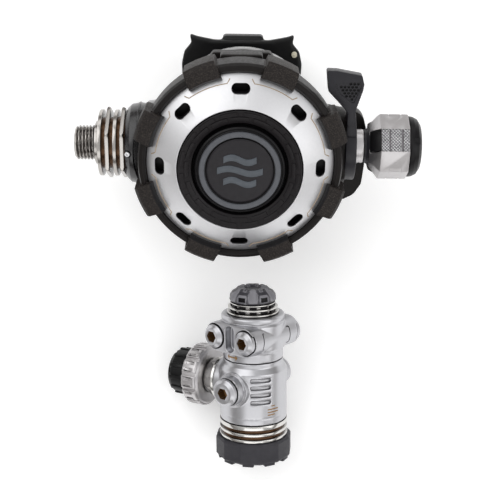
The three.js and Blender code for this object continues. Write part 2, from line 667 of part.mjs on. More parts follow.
function bodyParts(group) {
  piece(group, 'first_stage_body', firstStageBody(), LOOKS.satinSilver);
  piece(group, 'diaphragm_clamp', clampRing(), LOOKS.polished);
  piece(group, 'base_cap', baseCap(), LOOKS.charcoal);
  piece(group, 'sealing_diaphragm', rod('z', 12, 5.7, 6.9), LOOKS.blackRubber);
  const transmitter = turned('z', [
    [0, 7.2], [7, 7.2], [7, 8.2], [2.4, 8.2], [2.4, 23.9], [0, 23.9],
  ]);
  piece(group, 'load_transmitter', transmitter, LOOKS.blackMatte);
  piece(group, 'spring_adjuster', tube('z', 2.8, 10.6, 9.4, 12.6), LOOKS.brass);
  piece(group, 'main_spring', spring('z', 7, 1, 13, 23.6, 4), LOOKS.steel);
  piece(group, 'spring_seat', tube('z', 0.8, 10, 24.2, 25.8), LOOKS.brass);
  piece(group, 'main_diaphragm', rod('z', 12.9, 26.6, 27.6), LOOKS.blackRubber);
  const lifter = turned('z', [[0, 27.9], [6, 27.9], [6, 28.9], [1, 28.9], [1, 34.7], [0, 34.7]], SMALL);
  piece(group, 'poppet_lifter', lifter, LOOKS.brass);
  const valve = turned('z', [[0, 35], [1.6, 35], [2.8, 37], [2.8, 43.5], [0, 43.5]], SMALL);
  piece(group, 'high_pressure_poppet', valve, LOOKS.brass);
  piece(group, 'turret_bolt', turretBolt(), LOOKS.polished);
  piece(group, 'top_knob', topKnob(), LOOKS.charcoal);
  HIGH_PORT_TURNS.forEach((turn, i) => {
    const plug = portPlug(6.4, 3.2, HIGH_PORT - 0.5, 7.6);
    plug.translate(0, -HIGH_BOSS_REACH - GAP, 0).rotateZ(rad(turn)).translate(0, 0, HIGH_PORT_Z);
    piece(group, `high_pressure_plug_${i + 1}`, plug, LOOKS.satinSilver);
  });
}

// Tank connection, in a frame whose Y axis runs outwards along it.
function connectionStem() {
  const stem = turned('y', [
    [2.6, 17.1], [9.6, 17.1], [10.2, 18.5], [8.4, WHEEL_SPAN[0] - GAP], [6.4, WHEEL_SPAN[0] - GAP],
    [6.4, 41.2], [4.9, 41.2], [4.9, 40], [3.8, 40], [3.8, 41.2], [2.6, 41.2],
  ], ROUND);
  const flute = rod('y', 1.5, 18.6, 24, SMALL).translate(0, 0, 10.6);
  return cut(stem, ...around('y', 10, flute));
}

function handwheel() {
  const [from, to] = WHEEL_SPAN;
  const wheel = turned('y', [
    [6.8, from], [WHEEL_RADIUS - 1, from], [WHEEL_RADIUS, from + 1], [WHEEL_RADIUS, to - 1],
    [WHEEL_RADIUS - 1, to], [8.8, to], [8.8, 33.3], [TANK_THREAD, 34], [TANK_THREAD, 39.8],
    [8.8, 40.6], [6.8, 40.6],
  ], FINE);
  const notch = box([WHEEL_RADIUS - 1, from + 2.6, -1.6], [WHEEL_RADIUS + 2, to + 1, 1.6]);
  return cut(wheel, ...around('y', 12, notch));
}

function dustCap() {
  const start = WHEEL_SPAN[1] + GAP;
  const cup = turned('y', [
    [0, 41.6], [10, 41.6], [10, start], [10.7, start], [10.7, 41.4], [9, 43.4], [0, 44],
  ], ROUND);
  const rib = box([10.2, start, -0.9], [11.1, 41.2, 0.9]);
  return join(cup, ...around('y', 12, rib));
}

function connectionParts(group) {
  const line = new THREE.Group();
  line.position.set(0, 0, CONNECTION_Z);
  line.rotation.z = rad(CONNECTION_TURN);
  group.add(line);
  piece(line, 'tank_connection_stem', connectionStem(), LOOKS.satinSilver);
  const filter = turned('y', [[0, 31], [2.3, 31], [1.6, 39], [0, 39]], SMALL);
  piece(line, 'inlet_filter', filter, LOOKS.brass);
  const seal = new THREE.TorusGeometry(4.35, 0.42, 6, ROUND).rotateX(Math.PI / 2).translate(0, 40.85, 0);
  piece(line, 'face_seal', seal, LOOKS.blackRubber);
  piece(line, 'handwheel', handwheel(), LOOKS.satinSilver);
  piece(line, 'dust_cap', dustCap(), LOOKS.blackMatte);
}

// ---------------------------------------------------------------- the set on the table

// Lift a stage so that its lowest point is on the table.
function layDown(stage) {
  stage.updateMatrixWorld(true);
  const lowest = new THREE.Box3().setFromObject(stage, true).min.z;
  stage.position.z -= lowest;
}

const secondStage = new THREE.Group();
frontParts(secondStage);
rearParts(secondStage);
valveParts(secondStage);
secondStage.rotation.set(rad(SECOND_TILT - 90), 0, rad(SECOND_YAW), 'ZYX');
secondStage.position.set(...SECOND_PLACE, 0);
layDown(secondStage);

const firstStage = new THREE.Group();
bodyParts(firstStage);
turretParts(firstStage);
connectionParts(firstStage);
firstStage.scale.setScalar(FIRST_SIZE);
firstStage.rotation.set(rad(FIRST_LEAN - 90), 0, rad(FIRST_YAW), 'ZYX');
firstStage.position.set(...FIRST_PLACE, 0);
layDown(firstStage);

const regulatorSet = new THREE.Group();
regulatorSet.add(secondStage, firstStage);
regulatorSet.updateMatrixWorld(true);
const middle = new THREE.Box3().setFromObject(regulatorSet, true).getCenter(new THREE.Vector3());
regulatorSet.position.set(-middle.x, -middle.y, 0);

export default regulatorSet;
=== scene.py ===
# Scuba regulator set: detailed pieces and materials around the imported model.
# Lengths in the shapes are millimetres in a stage's own frame; the scene is in metres.

import json
from math import ceil, cos, floor, pi, radians, sin, tan

import bmesh
import bpy
from mathutils import Matrix, Vector


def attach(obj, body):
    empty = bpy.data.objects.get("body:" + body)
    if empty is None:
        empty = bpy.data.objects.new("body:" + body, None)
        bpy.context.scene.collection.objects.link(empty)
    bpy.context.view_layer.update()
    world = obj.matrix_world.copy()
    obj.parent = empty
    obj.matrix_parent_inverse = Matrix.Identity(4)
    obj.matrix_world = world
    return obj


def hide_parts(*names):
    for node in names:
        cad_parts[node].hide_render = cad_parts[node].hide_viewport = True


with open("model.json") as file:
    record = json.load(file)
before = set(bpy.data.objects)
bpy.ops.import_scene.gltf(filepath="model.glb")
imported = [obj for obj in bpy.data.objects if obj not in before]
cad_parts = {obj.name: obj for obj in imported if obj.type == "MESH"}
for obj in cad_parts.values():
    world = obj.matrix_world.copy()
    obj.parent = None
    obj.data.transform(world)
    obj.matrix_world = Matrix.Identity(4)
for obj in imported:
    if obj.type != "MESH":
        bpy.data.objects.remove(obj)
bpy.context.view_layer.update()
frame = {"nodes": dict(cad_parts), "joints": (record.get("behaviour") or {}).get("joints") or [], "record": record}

MM = 0.001
FINE = 128                     # facets around a large round piece
ROUND = 72
SMALL = 36
SHARP = radians(33)            # edges sharper than this are shaded as edges

# ---------------------------------------------------------------- the two stages' frames

joints = {joint["name"]: joint for joint in frame["joints"]}
VALVE_Y = 24.5                 # second stage: depth of the valve's axis behind the front cover
VENTURI_X = 46.0               # second stage: place of the venturi lever on that axis
FIRST_SIZE = 0.88              # first stage: real size of one nominal millimetre
TURRET_Z = 61.6                # first stage: height of the turret's ports
CONNECTION_Z = 36.5            # first stage: height of the tank connection
CONNECTION_TURN = radians(60)  # its turn from straight back towards the left
TURRET_TURN = radians(-43)


class Stage:
    """A frame in the scene: origin, axes and the size of one millimetre of its shapes."""

    def __init__(self, origin, x, y, z, size=1.0):
        self.matrix = Matrix.Translation(origin) @ Matrix((x, y, z)).transposed().to_4x4()
        self.scale = MM * size

    def turned(self, angle, axis="Z"):
        other = Stage((0, 0, 0), (1, 0, 0), (0, 1, 0), (0, 0, 1))
        other.matrix = self.matrix @ Matrix.Rotation(angle, 4, axis)
        other.scale = self.scale
        return other

    def moved(self, x, y, z):
        other = self.turned(0)
        other.matrix = self.matrix @ Matrix.Translation(Vector((x, y, z)) * self.scale)
        return other


def second_stage_frame():
    x = Vector(joints["venturi_turn"]["axis"])
    y = Vector(joints["purge_press"]["axis"])
    z = x.cross(y)
    origin = Vector(joints["venturi_turn"]["pos_m"]) - (VENTURI_X * x + VALVE_Y * y) * MM
    return Stage(origin, x, y, z)


def first_stage_frame():
    z = Vector(joints["turret_swivel"]["axis"])
    out = Vector(joints["handwheel_turn"]["axis"])
    y = Matrix.Rotation(-CONNECTION_TURN, 3, z) @ out
    origin = Vector(joints["turret_swivel"]["pos_m"]) - TURRET_Z * z * MM * FIRST_SIZE
    return Stage(origin, y.cross(z), y, z, FIRST_SIZE)


SECOND = second_stage_frame()
VALVE = SECOND.moved(0, VALVE_Y, 0)
FIRST = first_stage_frame()
HEAD = FIRST.turned(TURRET_TURN)
LINE = FIRST.moved(0, 0, CONNECTION_Z).turned(CONNECTION_TURN)

# ---------------------------------------------------------------- shape helpers


def solid(bm):
    """A working object holding the mesh, with its faces turned outwards."""
    bmesh.ops.recalc_face_normals(bm, faces=bm.faces)
    mesh = bpy.data.meshes.new("work")
    bm.to_mesh(mesh)
    bm.free()
    thing = bpy.data.objects.new("work", mesh)
    bpy.context.scene.collection.objects.link(thing)
    return thing


def filleted(points, radius, steps=3):
    """A closed outline with its corners rounded, except on the axis of a turned profile."""
    result = []
    for i, point in enumerate(points):
        corner = Vector(point)
        before = Vector(points[i - 1]) - corner
        after = Vector(points[(i + 1) % len(points)]) - corner
        angle = before.angle(after)
        if abs(point[0]) < 1e-6 or angle > radians(172):
            result.append(corner)
            continue
        reach = min(radius / tan(angle / 2), 0.45 * before.length, 0.45 * after.length)
        start = corner + before.normalized() * reach
        end = corner + after.normalized() * reach
        for k in range(steps + 1):
            t = k / steps
            result.append((1 - t) ** 2 * start + 2 * t * (1 - t) * corner + t * t * end)
    return [tuple(p) for p in result]


def on_axis(axis, radius, height, angle):
    across, up = radius * cos(angle), radius * sin(angle)
    if axis == "x":
        return (height, across, up)
    if axis == "y":
        return (up, height, across)
    return (across, up, height)


def lathe(axis, profile, segments=ROUND, fillet=0.0, span=None):
    """A turned solid, or a sector of one between two angles in radians."""
    points = filleted(profile, fillet) if fillet else profile
    bm = bmesh.new()
    full = span is None
    steps = segments if full else segments + 1
    start, turn = (0.0, 2 * pi) if full else (span[0], span[1] - span[0])
    rings = []
    for radius, height in points:
        if radius < 1e-6:
            pole = bm.verts.new(on_axis(axis, 0, height, 0))
            rings.append([pole] * steps)
            continue
        angles = [start + turn * k / segments for k in range(steps)]
        rings.append([bm.verts.new(on_axis(axis, radius, height, a)) for a in angles])
    for i, ring in enumerate(rings):
        other = rings[(i + 1) % len(rings)]
        for k in range(segments):
            n = (k + 1) % steps
            corners = []
            for vert in (ring[k], ring[n], other[n], other[k]):
                if vert not in corners:
                    corners.append(vert)
            if len(corners) > 2:
                bm.faces.new(corners)
    if not full:
        bm.faces.new([ring[0] for ring in rings])
        bm.faces.new([ring[-1] for ring in reversed(rings)])
    return solid(bm)


def rod(axis, radius, low, high, segments=SMALL, fillet=0.0):
    return lathe(axis, [(0, low), (radius, low), (radius, high), (0, high)], segments, fillet)


def tube(axis, inner, outer, low, high, segments=ROUND, fillet=0.0):
    profile = [(inner, low), (outer, low), (outer, high), (inner, high)]
    return lathe(axis, profile, segments, fillet)


def flat_point(axis, u, v, t):
    return {"x": (t, u, v), "y": (u, t, v), "z": (u, v, t)}[axis]


def loft(axis, stations):
    """A closed solid through outlines of equal length: each station is (outline, height)."""
    bm = bmesh.new()
    rings = [[bm.verts.new(flat_point(axis, u, v, t)) for u, v in outline] for outline, t in stations]
    count = len(rings[0])
    for low, high in zip(rings, rings[1:]):
        for k in range(count):
            n = (k + 1) % count
            bm.faces.new((low[k], low[n], high[n], high[k]))
    bm.faces.new(rings[0])
    bm.faces.new(list(reversed(rings[-1])))
    return solid(bm)


def prism(axis, outline, low, high, fillet=0.0, steps=3):
    points = filleted(outline, fillet, steps) if fillet else outline
    return loft(axis, [(points, low), (points, high)])


def block(low, high):
    outline = [(low[0], low[1]), (high[0], low[1]), (high[0], high[1]), (low[0], high[1])]
    return prism("z", outline, low[2], high[2])


def scaled(outline, factor):
    return [(u * factor, v * factor) for u, v in outline]


def obround(length, width, u=0.0, v=0.0, steps=14):
    half = (length - width) / 2
    points = []
    for side, middle in ((1, 0.0), (-1, pi)):
        for k in range(steps + 1):
            angle = middle - pi / 2 + pi * k / steps
            points.append((u + side * half + width / 2 * cos(angle), v + width / 2 * sin(angle)))
    return points


def polygon(sides, radius, turn=0.0):
    angles = [turn + 2 * pi * i / sides for i in range(sides)]
    return [(radius * cos(a), radius * sin(a)) for a in angles]


def placed(thing, matrix):
    thing.data.transform(matrix)
    return thing


def shifted(thing, x, y, z):
    return placed(thing, Matrix.Translation((x, y, z)))


def spun(thing, axis, degrees):
    return placed(thing, Matrix.Rotation(radians(degrees), 4, axis.upper()))


def copied(thing):
    twin = bpy.data.objects.new("work", thing.data.copy())
    bpy.context.scene.collection.objects.link(twin)
    return twin


def discard(thing):
    mesh = thing.data
    bpy.data.objects.remove(thing)
    bpy.data.meshes.remove(mesh)


def gathered(*things):
    """The solids as one object, without joining their surfaces."""
    bm = bmesh.new()
    for thing in things:
        bm.from_mesh(thing.data)
        discard(thing)
    mesh = bpy.data.meshes.new("work")
    bm.to_mesh(mesh)
    bm.free()
    whole = bpy.data.objects.new("work", mesh)
    bpy.context.scene.collection.objects.link(whole)
    return whole


def around(axis, count, thing, offset=0.0):
    """Copies at equal turns about the axis, gathered into one object."""
    copies = [spun(copied(thing), axis, offset + 360 * i / count) for i in range(count)]
    discard(thing)
    return gathered(*copies)


def applied(thing):
    graph = bpy.context.evaluated_depsgraph_get()
    mesh = bpy.data.meshes.new_from_object(thing.evaluated_get(graph))
    old = thing.data
    thing.modifiers.clear()
    thing.data = mesh
    bpy.data.meshes.remove(old)
    return thing


def combined(base, tool, operation):
    change = base.modifiers.new("combine", "BOOLEAN")
    change.operation = operation
    change.solver = "EXACT"
    change.object = tool
    applied(base)
    discard(tool)
    return base


def cut(base, *tools):
    for tool in tools:
        combined(base, tool, "DIFFERENCE")
    return base


def joined(base, *others):
    for other in others:
        combined(base, other, "UNION")
    return base


def bevelled(thing, width, segments=2, angle=35):
    change = thing.modifiers.new("bevel", "BEVEL")
    change.width = width
    change.segments = segments
    change.limit_method = "ANGLE"
    change.angle_limit = radians(angle)
    change.use_clamp_overlap = True
    return applied(thing)


def moulded(thing, voxel, passes):
    """The outer surface as one skin whose corners are softened."""
    skin = thing.modifiers.new("skin", "REMESH")
    skin.mode = "VOXEL"
    skin.voxel_size = voxel
    soft = thing.modifiers.new("soft", "SMOOTH")
    soft.factor = 0.5
    soft.iterations = passes
    return applied(thing)


def moved_points(thing, rule):
    for vertex in thing.data.vertices:
        vertex.co = rule(vertex.co)
    return thing


def shade(mesh):
    bm = bmesh.new()
    bm.from_mesh(mesh)
    for face in bm.faces:
        face.smooth = True
    for edge in bm.edges:
        if len(edge.link_faces) == 2 and edge.calc_face_angle(0) > SHARP:
            edge.smooth = False
    bm.to_mesh(mesh)
    bm.free()


def piece(name, thing, stage, look, slot, *nodes, body="housing", accent=None, accent_where=None):
    """Finish a working object as a named piece of the set; look and accent are names in LOOKS."""
    if accent:
        thing.data.materials.clear()
        chosen = [accent_where(p.center, p.normal) for p in thing.data.polygons]
    shade(thing.data)
    thing.data.transform(Matrix.Scale(stage.scale, 4))
    thing.matrix_world = stage.matrix
    thing.name = name
    thing.data.name = name
    thing.data.materials.clear()
    thing.data.materials.append(LOOKS[look])
    if accent:
        thing.data.materials.append(LOOKS[accent])
        for polygon_, flag in zip(thing.data.polygons, chosen):
            polygon_.material_index = int(flag)
    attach(thing, body)
    if nodes:
        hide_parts(*nodes)
    return thing


# ---------------------------------------------------------------- materials


def linear(code):
    """Scene colour of a hexadecimal display colour."""
    parts = [int(code[i:i + 2], 16) / 255 for i in (1, 3, 5)]
    return [c / 12.92 if c < 0.04045 else ((c + 0.055) / 1.055) ** 2.4 for c in parts]


def tinted(color, factor):
    return (*[min(1.0, c * factor) for c in color], 1.0)


class Look:
    """A node material whose colour, roughness and relief vary over the surface."""

    def __init__(self, name, color, roughness, metallic=0.0):
        self.material = bpy.data.materials.new(name)
        self.material.use_nodes = True
        self.nodes = self.material.node_tree.nodes
        self.links = self.material.node_tree.links
        self.shader = self.nodes["Principled BSDF"]
        self.shader.inputs["Metallic"].default_value = metallic
        self.place = self.nodes.new("ShaderNodeTexCoord").outputs["Object"]
        self.height = None
        self.color = color
        self.roughness = roughness
        self.vary_color(color, 420, 0.9, 1.08)
        self.vary_roughness(roughness, 0.06, 900)

    def noise(self, scale, detail=3.0, place=None):
        node = self.nodes.new("ShaderNodeTexNoise")
        node.inputs["Scale"].default_value = scale
        node.inputs["Detail"].default_value = detail
        self.links.new(place or self.place, node.inputs["Vector"])
        return node.outputs["Fac"]

    def ramp(self, value, low, high, start=0.3, end=0.7):
        node = self.nodes.new("ShaderNodeValToRGB")
        node.color_ramp.elements[0].position = start
        node.color_ramp.elements[0].color = low
        node.color_ramp.elements[1].position = end
        node.color_ramp.elements[1].color = high
        self.links.new(value, node.inputs["Fac"])
        return node.outputs["Color"]

    def vary_color(self, color, scale, dark, light):
        ramp = self.ramp(self.noise(scale), tinted(color, dark), tinted(color, light))
        self.links.new(ramp, self.shader.inputs["Base Color"])
        return self

    def color_mix(self):
        """A mix laid over the present colour."""
        mix = self.nodes.new("ShaderNodeMix")
        mix.data_type = "RGBA"
        under = self.shader.inputs["Base Color"].links[0].from_socket
        self.links.new(under, mix.inputs[6])
        self.links.new(mix.outputs[2], self.shader.inputs["Base Color"])
        return mix

    def overlaid(self, value, code, start, end):
        mix = self.color_mix()
        mask = self.ramp(value, (0, 0, 0, 1), (1, 1, 1, 1), start, end)
        self.links.new(mask, mix.inputs["Factor"])
        mix.inputs[7].default_value = tinted(linear(code), 1)
        return self

    def speckle(self, scale, code, start, end):
        """A second colour where a finer pattern rises above a level."""
        return self.overlaid(self.noise(scale, 2), code, start, end)

    def worn_edges(self, code, start=0.52, end=0.62):
        """A lighter colour on convex edges."""
        point = self.nodes.new("ShaderNodeNewGeometry").outputs["Pointiness"]
        return self.overlaid(point, code, start, end)

    def vary_roughness(self, middle, spread, scale):
        node = self.nodes.new("ShaderNodeMapRange")
        node.inputs["From Min"].default_value = 0.3
        node.inputs["From Max"].default_value = 0.7
        node.inputs["To Min"].default_value = max(0.02, middle - spread)
        node.inputs["To Max"].default_value = middle + spread
        self.links.new(self.noise(scale), node.inputs["Value"])
        self.links.new(node.outputs["Result"], self.shader.inputs["Roughness"])
        return self

    def relief(self, value, strength, distance):
        bump = self.nodes.new("ShaderNodeBump")
        bump.inputs["Strength"].default_value = strength
        bump.inputs["Distance"].default_value = distance
        self.links.new(value, bump.inputs["Height"])
        if self.height:
            self.links.new(self.height, bump.inputs["Normal"])
        self.height = bump.outputs["Normal"]
        self.links.new(self.height, self.shader.inputs["Normal"])
        return self

    def grain(self, scale, strength, distance=0.0002):
        return self.relief(self.noise(scale, 4), strength, distance)

    def pores(self, scale, strength, distance=0.0002):
        node = self.nodes.new("ShaderNodeTexVoronoi")
        node.inputs["Scale"].default_value = scale
        self.links.new(self.place, node.inputs["Vector"])
        return self.relief(node.outputs["Distance"], strength, distance)

    def turned_lines(self, scale, strength, axis="y"):
        """Fine rings about the frame's axis, as a lathe or a spin finish leaves."""
        split = self.nodes.new("ShaderNodeSeparateXYZ")
        self.links.new(self.place, split.inputs[0])
        pair = [split.outputs[i] for i in range(3) if "xyz"[i] != axis]
        flat = self.nodes.new("ShaderNodeCombineXYZ")
        for source, target in zip(pair, flat.inputs):
            self.links.new(source, target)
        length = self.nodes.new("ShaderNodeVectorMath")
        length.operation = "LENGTH"
        self.links.new(flat.outputs[0], length.inputs[0])
        ring = self.nodes.new("ShaderNodeCombineXYZ")
        self.links.new(length.outputs["Value"], ring.inputs[0])
        return self.relief(self.noise(scale, 5, ring.outputs[0]), strength, 0.00005)

    def steady(self):
        """Even metal: hardly any change of colour or roughness."""
        return self.vary_color(self.color, 900, 0.985, 1.015).vary_roughness(self.roughness, 0.02, 3000)

    def painted_corner_shade(self, reach):
        """Painted shade: darker where other surfaces are near, in corners and grooves."""
        shade_node = self.nodes.new("ShaderNodeAmbientOcclusion")
        shade_node.samples = 8
        shade_node.inputs["Distance"].default_value = reach
        mask = self.ramp(shade_node.outputs["AO"], (0.16, 0.15, 0.15, 1), (1, 1, 1, 1), 0.25, 0.85)
        mix = self.color_mix()
        mix.blend_type = "MULTIPLY"
        mix.inputs["Factor"].default_value = 1.0
        self.links.new(mask, mix.inputs[7])
        return self

    def sheen(self, level):
        """How strongly a plastic reflects, against the usual half."""
        self.shader.inputs["Specular IOR Level"].default_value = level * 0.5
        return self

    def coat(self, weight, roughness=0.08):
        self.shader.inputs["Coat Weight"].default_value = weight
        self.shader.inputs["Coat Roughness"].default_value = roughness
        return self


def make_looks():
    looks = {
        "plate": Look("plate_silver", (0.70, 0.70, 0.715), 0.46, 1.0).steady().turned_lines(9000, 0.03),
        "line": Look("plate_line", linear("#9c8a73"), 0.55, 0.2).grain(4000, 0.1),
        # The satin, polished and fin metals carry painted shade where other surfaces are near.
        "satin": Look("satin_chrome", (0.50, 0.50, 0.52), 0.33, 1.0).steady().painted_corner_shade(0.0025),
        "knob": Look("knob_satin", (0.54, 0.525, 0.53), 0.38, 1.0).steady().grain(5200, 0.02, 0.00005),
        "polished": Look("polished_chrome", (0.62, 0.61, 0.59), 0.17, 1.0).steady().painted_corner_shade(0.002),
        "fins": Look("fin_chrome", (0.44, 0.42, 0.40), 0.22, 1.0).steady().painted_corner_shade(0.003),
        "bronze": Look("dark_bronze", (0.085, 0.048, 0.028), 0.3, 1.0).turned_lines(7000, 0.05, "x"),
        "socket": Look("socket_bronze", (0.24, 0.15, 0.07), 0.38, 0.9).grain(3000, 0.1),
        "steel": Look("stainless", (0.55, 0.55, 0.56), 0.24, 1.0).grain(4000, 0.06),
        "brass": Look("brass", (0.62, 0.44, 0.18), 0.3, 1.0).grain(3600, 0.08),
        "gloss": Look("black_gloss", linear("#121112"), 0.16).grain(2200, 0.03).coat(0.9, 0.06),
        "sleeve": Look("sleeve_gloss", linear("#1d1c1e"), 0.24).grain(2600, 0.06).coat(0.2, 0.16),
        "matte": Look("black_matte", linear("#0f0e10"), 0.36).grain(3800, 0.2, 0.0001).sheen(0.4),
        "disc": Look("disc_black", linear("#232124"), 0.36).grain(3800, 0.2, 0.0001).sheen(0.4),
        "cover": Look("cover_black", linear("#181517"), 0.4).grain(2400, 0.35, 0.00015).sheen(0.4),
        "slate": Look("lever_slate", linear("#222126"), 0.36).grain(3600, 0.3, 0.0001).sheen(0.6),
        "ring": Look("button_grey", linear("#53555a"), 0.36).grain(5000, 0.15, 0.0001).sheen(0.6),
        "mark": Look("mark_grey", linear("#4d5258"), 0.34).grain(5000, 0.15, 0.0001).sheen(0.6),
        "rubber": Look("black_rubber", linear("#0b0b0c"), 0.36).grain(1600, 0.2, 0.00012).sheen(0.5),
        "charcoal": Look("charcoal_rubber", linear("#3a393e"),
                         0.42).grain(3200, 0.3, 0.00012).worn_edges("#77767b"),
        "cap": Look("cap_rubber", linear("#302f34"), 0.5).grain(3200, 0.3, 0.00012).sheen(0.6),
        # The knurl's ridges take a light copy of the knob metal, a painted highlight, and its valleys a dark copy,
        # painted shade.
        "knurl": Look("knurl_painted_highlight", (0.80, 0.80, 0.81), 0.34, 1.0).steady().grain(5200, 0.02, 0.00005),
        "painted_valley_shade": Look("knurl_valley_painted_shade", (0.22, 0.21, 0.22), 0.4, 1.0).grain(5200, 0.02),
        "cream": Look("cream_dot", linear("#cfc9b4"), 0.5).grain(3000, 0.1),
        "etch": Look("etched_brown", linear("#8b6a3e"), 0.6).grain(3000, 0.1),
    }
    grip = Look("grip_rubber", linear("#1f1b1a"), 0.5)
    grip.speckle(2600, "#3a3531", 0.5, 0.66)
    looks["grip"] = grip.pores(1900, 0.5, 0.00025).grain(5200, 0.3, 0.0001).sheen(0.35)
    band = Look("band_rubber", linear("#181514"), 0.42)
    looks["band"] = band.grain(2600, 0.35, 0.00015).sheen(0.3)
    return {name: look.material for name, look in looks.items()}


LOOKS = make_looks()

# ---------------------------------------------------------------- second stage: front

PLATE_INNER, PLATE_OUTER, PLATE_RIM = 24.9, 37.4, 37.7
PLATE_RISE = 8.2
PLATE_THICK = 1.2
SLOT_RADIUS, SLOT_SIZE = 31.9, (7.3, 3.9)
PETALS = 8
GRIP_HALF = 11.4               # degrees on each side of a grip's middle


def cone(radius):
    """Depth of the plate's front at a radius."""
    return ((radius - PLATE_INNER) / (PLATE_RIM - PLATE_INNER) - 1) * PLATE_RISE


def cover_slots():
    slot = prism("y", obround(*SLOT_SIZE, 0, SLOT_RADIUS), -14, 12)
    return around("y", PETALS, slot)


def make_faceplate():
    profile = [
        (PLATE_INNER, cone(PLATE_INNER)), (PLATE_OUTER, cone(PLATE_OUTER)),
        (PLATE_OUTER, cone(PLATE_OUTER) + PLATE_THICK), (PLATE_INNER, cone(PLATE_INNER) + PLATE_THICK),
    ]
    plate = cut(lathe("y", profile, 192, 0.4), cover_slots())
    piece("plate", bevelled(plate, 0.1, 1, 40), SECOND, "plate", "plate_silver", "faceplate")


def ribbon(path, half_width, rise):
    """A thin closed strip lying on the plate along (radius, angle) points."""
    def point(radius, angle, lift):
        return Vector((radius * sin(angle), cone(radius) - lift, radius * cos(angle)))
    bm = bmesh.new()
    rings = []
    for i, (radius, angle) in enumerate(path):
        here = point(radius, angle, 0)
        ahead = point(*path[min(i + 1, len(path) - 1)], 0)
        behind = point(*path[max(i - 1, 0)], 0)
        along = (ahead - behind).normalized()
        up = Vector((0, -1, 0))
        side = along.cross(up).normalized() * half_width
        corners = [here + side + up * rise, here - side + up * rise, here - side - up * 0.3,
                   here + side - up * 0.3]
        rings.append([bm.verts.new(c) for c in corners])
    for low, high in zip(rings, rings[1:]):
        for k in range(4):
            n = (k + 1) % 4
            bm.faces.new((low[k], low[n], high[n], high[k]))
    bm.faces.new(rings[0])
    bm.faces.new(rings[-1])
    return solid(bm)


def make_plate_lines():
    steps = 16
    half = radians(13.6)
    middle = [(33.9, -half + 2 * half * k / steps) for k in range(steps + 1)]
    path = [(35.5, -radians(15.6)), (34.9, -radians(14.9))] + middle
    path += [(34.9, radians(14.9)), (35.5, radians(15.6))]
    lines = around("y", PETALS, ribbon(path, 0.24, 0.06), 180 / PETALS)
    piece("plate_lines", lines, SECOND, "line", "plate_silver")


def make_bumper():
    band = lathe("y", [
        (37.65, -0.7), (38.7, -2.0), (40.3, -1.4), (41, 0.6), (41, 10.6), (40.2, 11.6), (38.95, 11.6),
        (38.95, 7), (37.65, 7),
    ], FINE, 0.5)
    half = radians(GRIP_HALF + 4)
    grip = lathe("y", [
        (35.6, cone(35.6) - 0.15), (36.9, -3.8), (42.4, -2.9), (43.6, -1.5), (43.6, 9), (42.6, 10),
        (38.9, 10), (37.75, 6.8), (37.75, cone(37.75) - 0.2),
    ], 18, 0.0, (-half, half))
    sides = prism("y", [(-6.9, 30), (6.9, 30), (6.35, 46), (-6.35, 46)], -20, 20)
    grip = combined(grip, sides, "INTERSECT")
    step = prism("y", [(-7.3, 35.9), (7.3, 35.9), (7.0, 41.4), (-7.0, 41.4)], -1.6, 8)
    step = combined(step, tube("y", 37.8, 41.3, -3, 9, FINE), "INTERSECT")
    grips = around("y", PETALS, gathered(bevelled(grip, 0.45, 3, 30), bevelled(step, 0.3)), 180 / PETALS)
    piece("bumper_band", band, SECOND, "band", "grip_rubber", "bumper_ring")

    def inner_chamfer(center, normal):
        out = Vector((center.x, 0, center.z)).normalized()
        return normal.dot(out) < -0.35
    piece("bumper_grips", grips, SECOND, "grip", "grip_rubber",
          accent="matte", accent_where=inner_chamfer)


def dish(radius):
    """Depth of the cover's black ring inside the plate."""
    return -8.8 + (24.5 - radius) * 0.36


def make_cover():
    behind = PLATE_THICK + 0.3
    profile = [
        (19.2, dish(19.2)), (24.5, dish(24.5)), (24.6, cone(24.6) + behind), (37, cone(37) + behind),
        (37, 6.9),
        (34.5, 6.9), (34.5, 3), (24, -4.2), (19.2, -4.2),
    ]
    shell = cut(lathe("y", profile, FINE, 0.3), cover_slots())
    pads = []
    for inner, outer, half, offset in ((20.2, 21.9, 9.0, 0.0), (22.2, 23.9, 8.2, 11.25)):
        profile = [
            (inner, dish(inner) - 0.35), (outer, dish(outer) - 0.35), (outer, dish(outer) + 0.5),
            (inner, dish(inner) + 0.5),
        ]
        pad = lathe("y", profile, 8, 0.0, (-radians(half), radians(half)))
        pads.append(around("y", 16, bevelled(pad, 0.15, 2), offset))
    piece("cover_ring", gathered(shell, *pads), SECOND, "cover", "black_matte", "front_cover")


def make_button():
    button = lathe("y", [
        (0, -7.7), (13.3, -7.7), (13.5, -8), (16.3, -8), (16.7, -7.5), (17.1, -7.9), (17.8, -7.4),
        (17.8, -3.8),
        (18.8, -4.4), (19.0, -3.8), (20.6, -3.8), (20.6, -2.7), (16, -2.7), (16, -5.5), (3, -5.5), (3, 5.9),
        (0, 5.9),
    ], FINE, 0.22)
    piece("purge_cap", button, SECOND, "matte", "black_matte", "purge_button", body="purge_button")
    ring = lathe("y", [(13.75, -8.25), (14.1, -9.0), (15.9, -9.1), (16.3, -8.25)], FINE, 0.25)
    piece("purge_ring", ring, SECOND, "ring", "grey_plastic", "button_ring", body="purge_button")
    disc = lathe("y", [(0, -8.45), (12.6, -8.45), (13.2, -8.25), (13.2, -7.9), (0, -7.9)], FINE, 0.1)
    piece("purge_disc", disc, SECOND, "disc", "black_gloss", "emblem_disc", body="purge_button")


def wave_bar(length, width, rise):
    """A flat bar whose long edges are waves, drawn in (x, z)."""
    steps = 36
    upper, lower = [], []
    for k in range(steps + 1):
        x = -length / 2 + length * k / steps
        middle = rise * sin(2 * pi * k / steps)
        upper.append((x, middle + width / 2))
        lower.append((x, middle - width / 2))
    return prism("y", lower + upper[::-1], -8.75, -8.35)


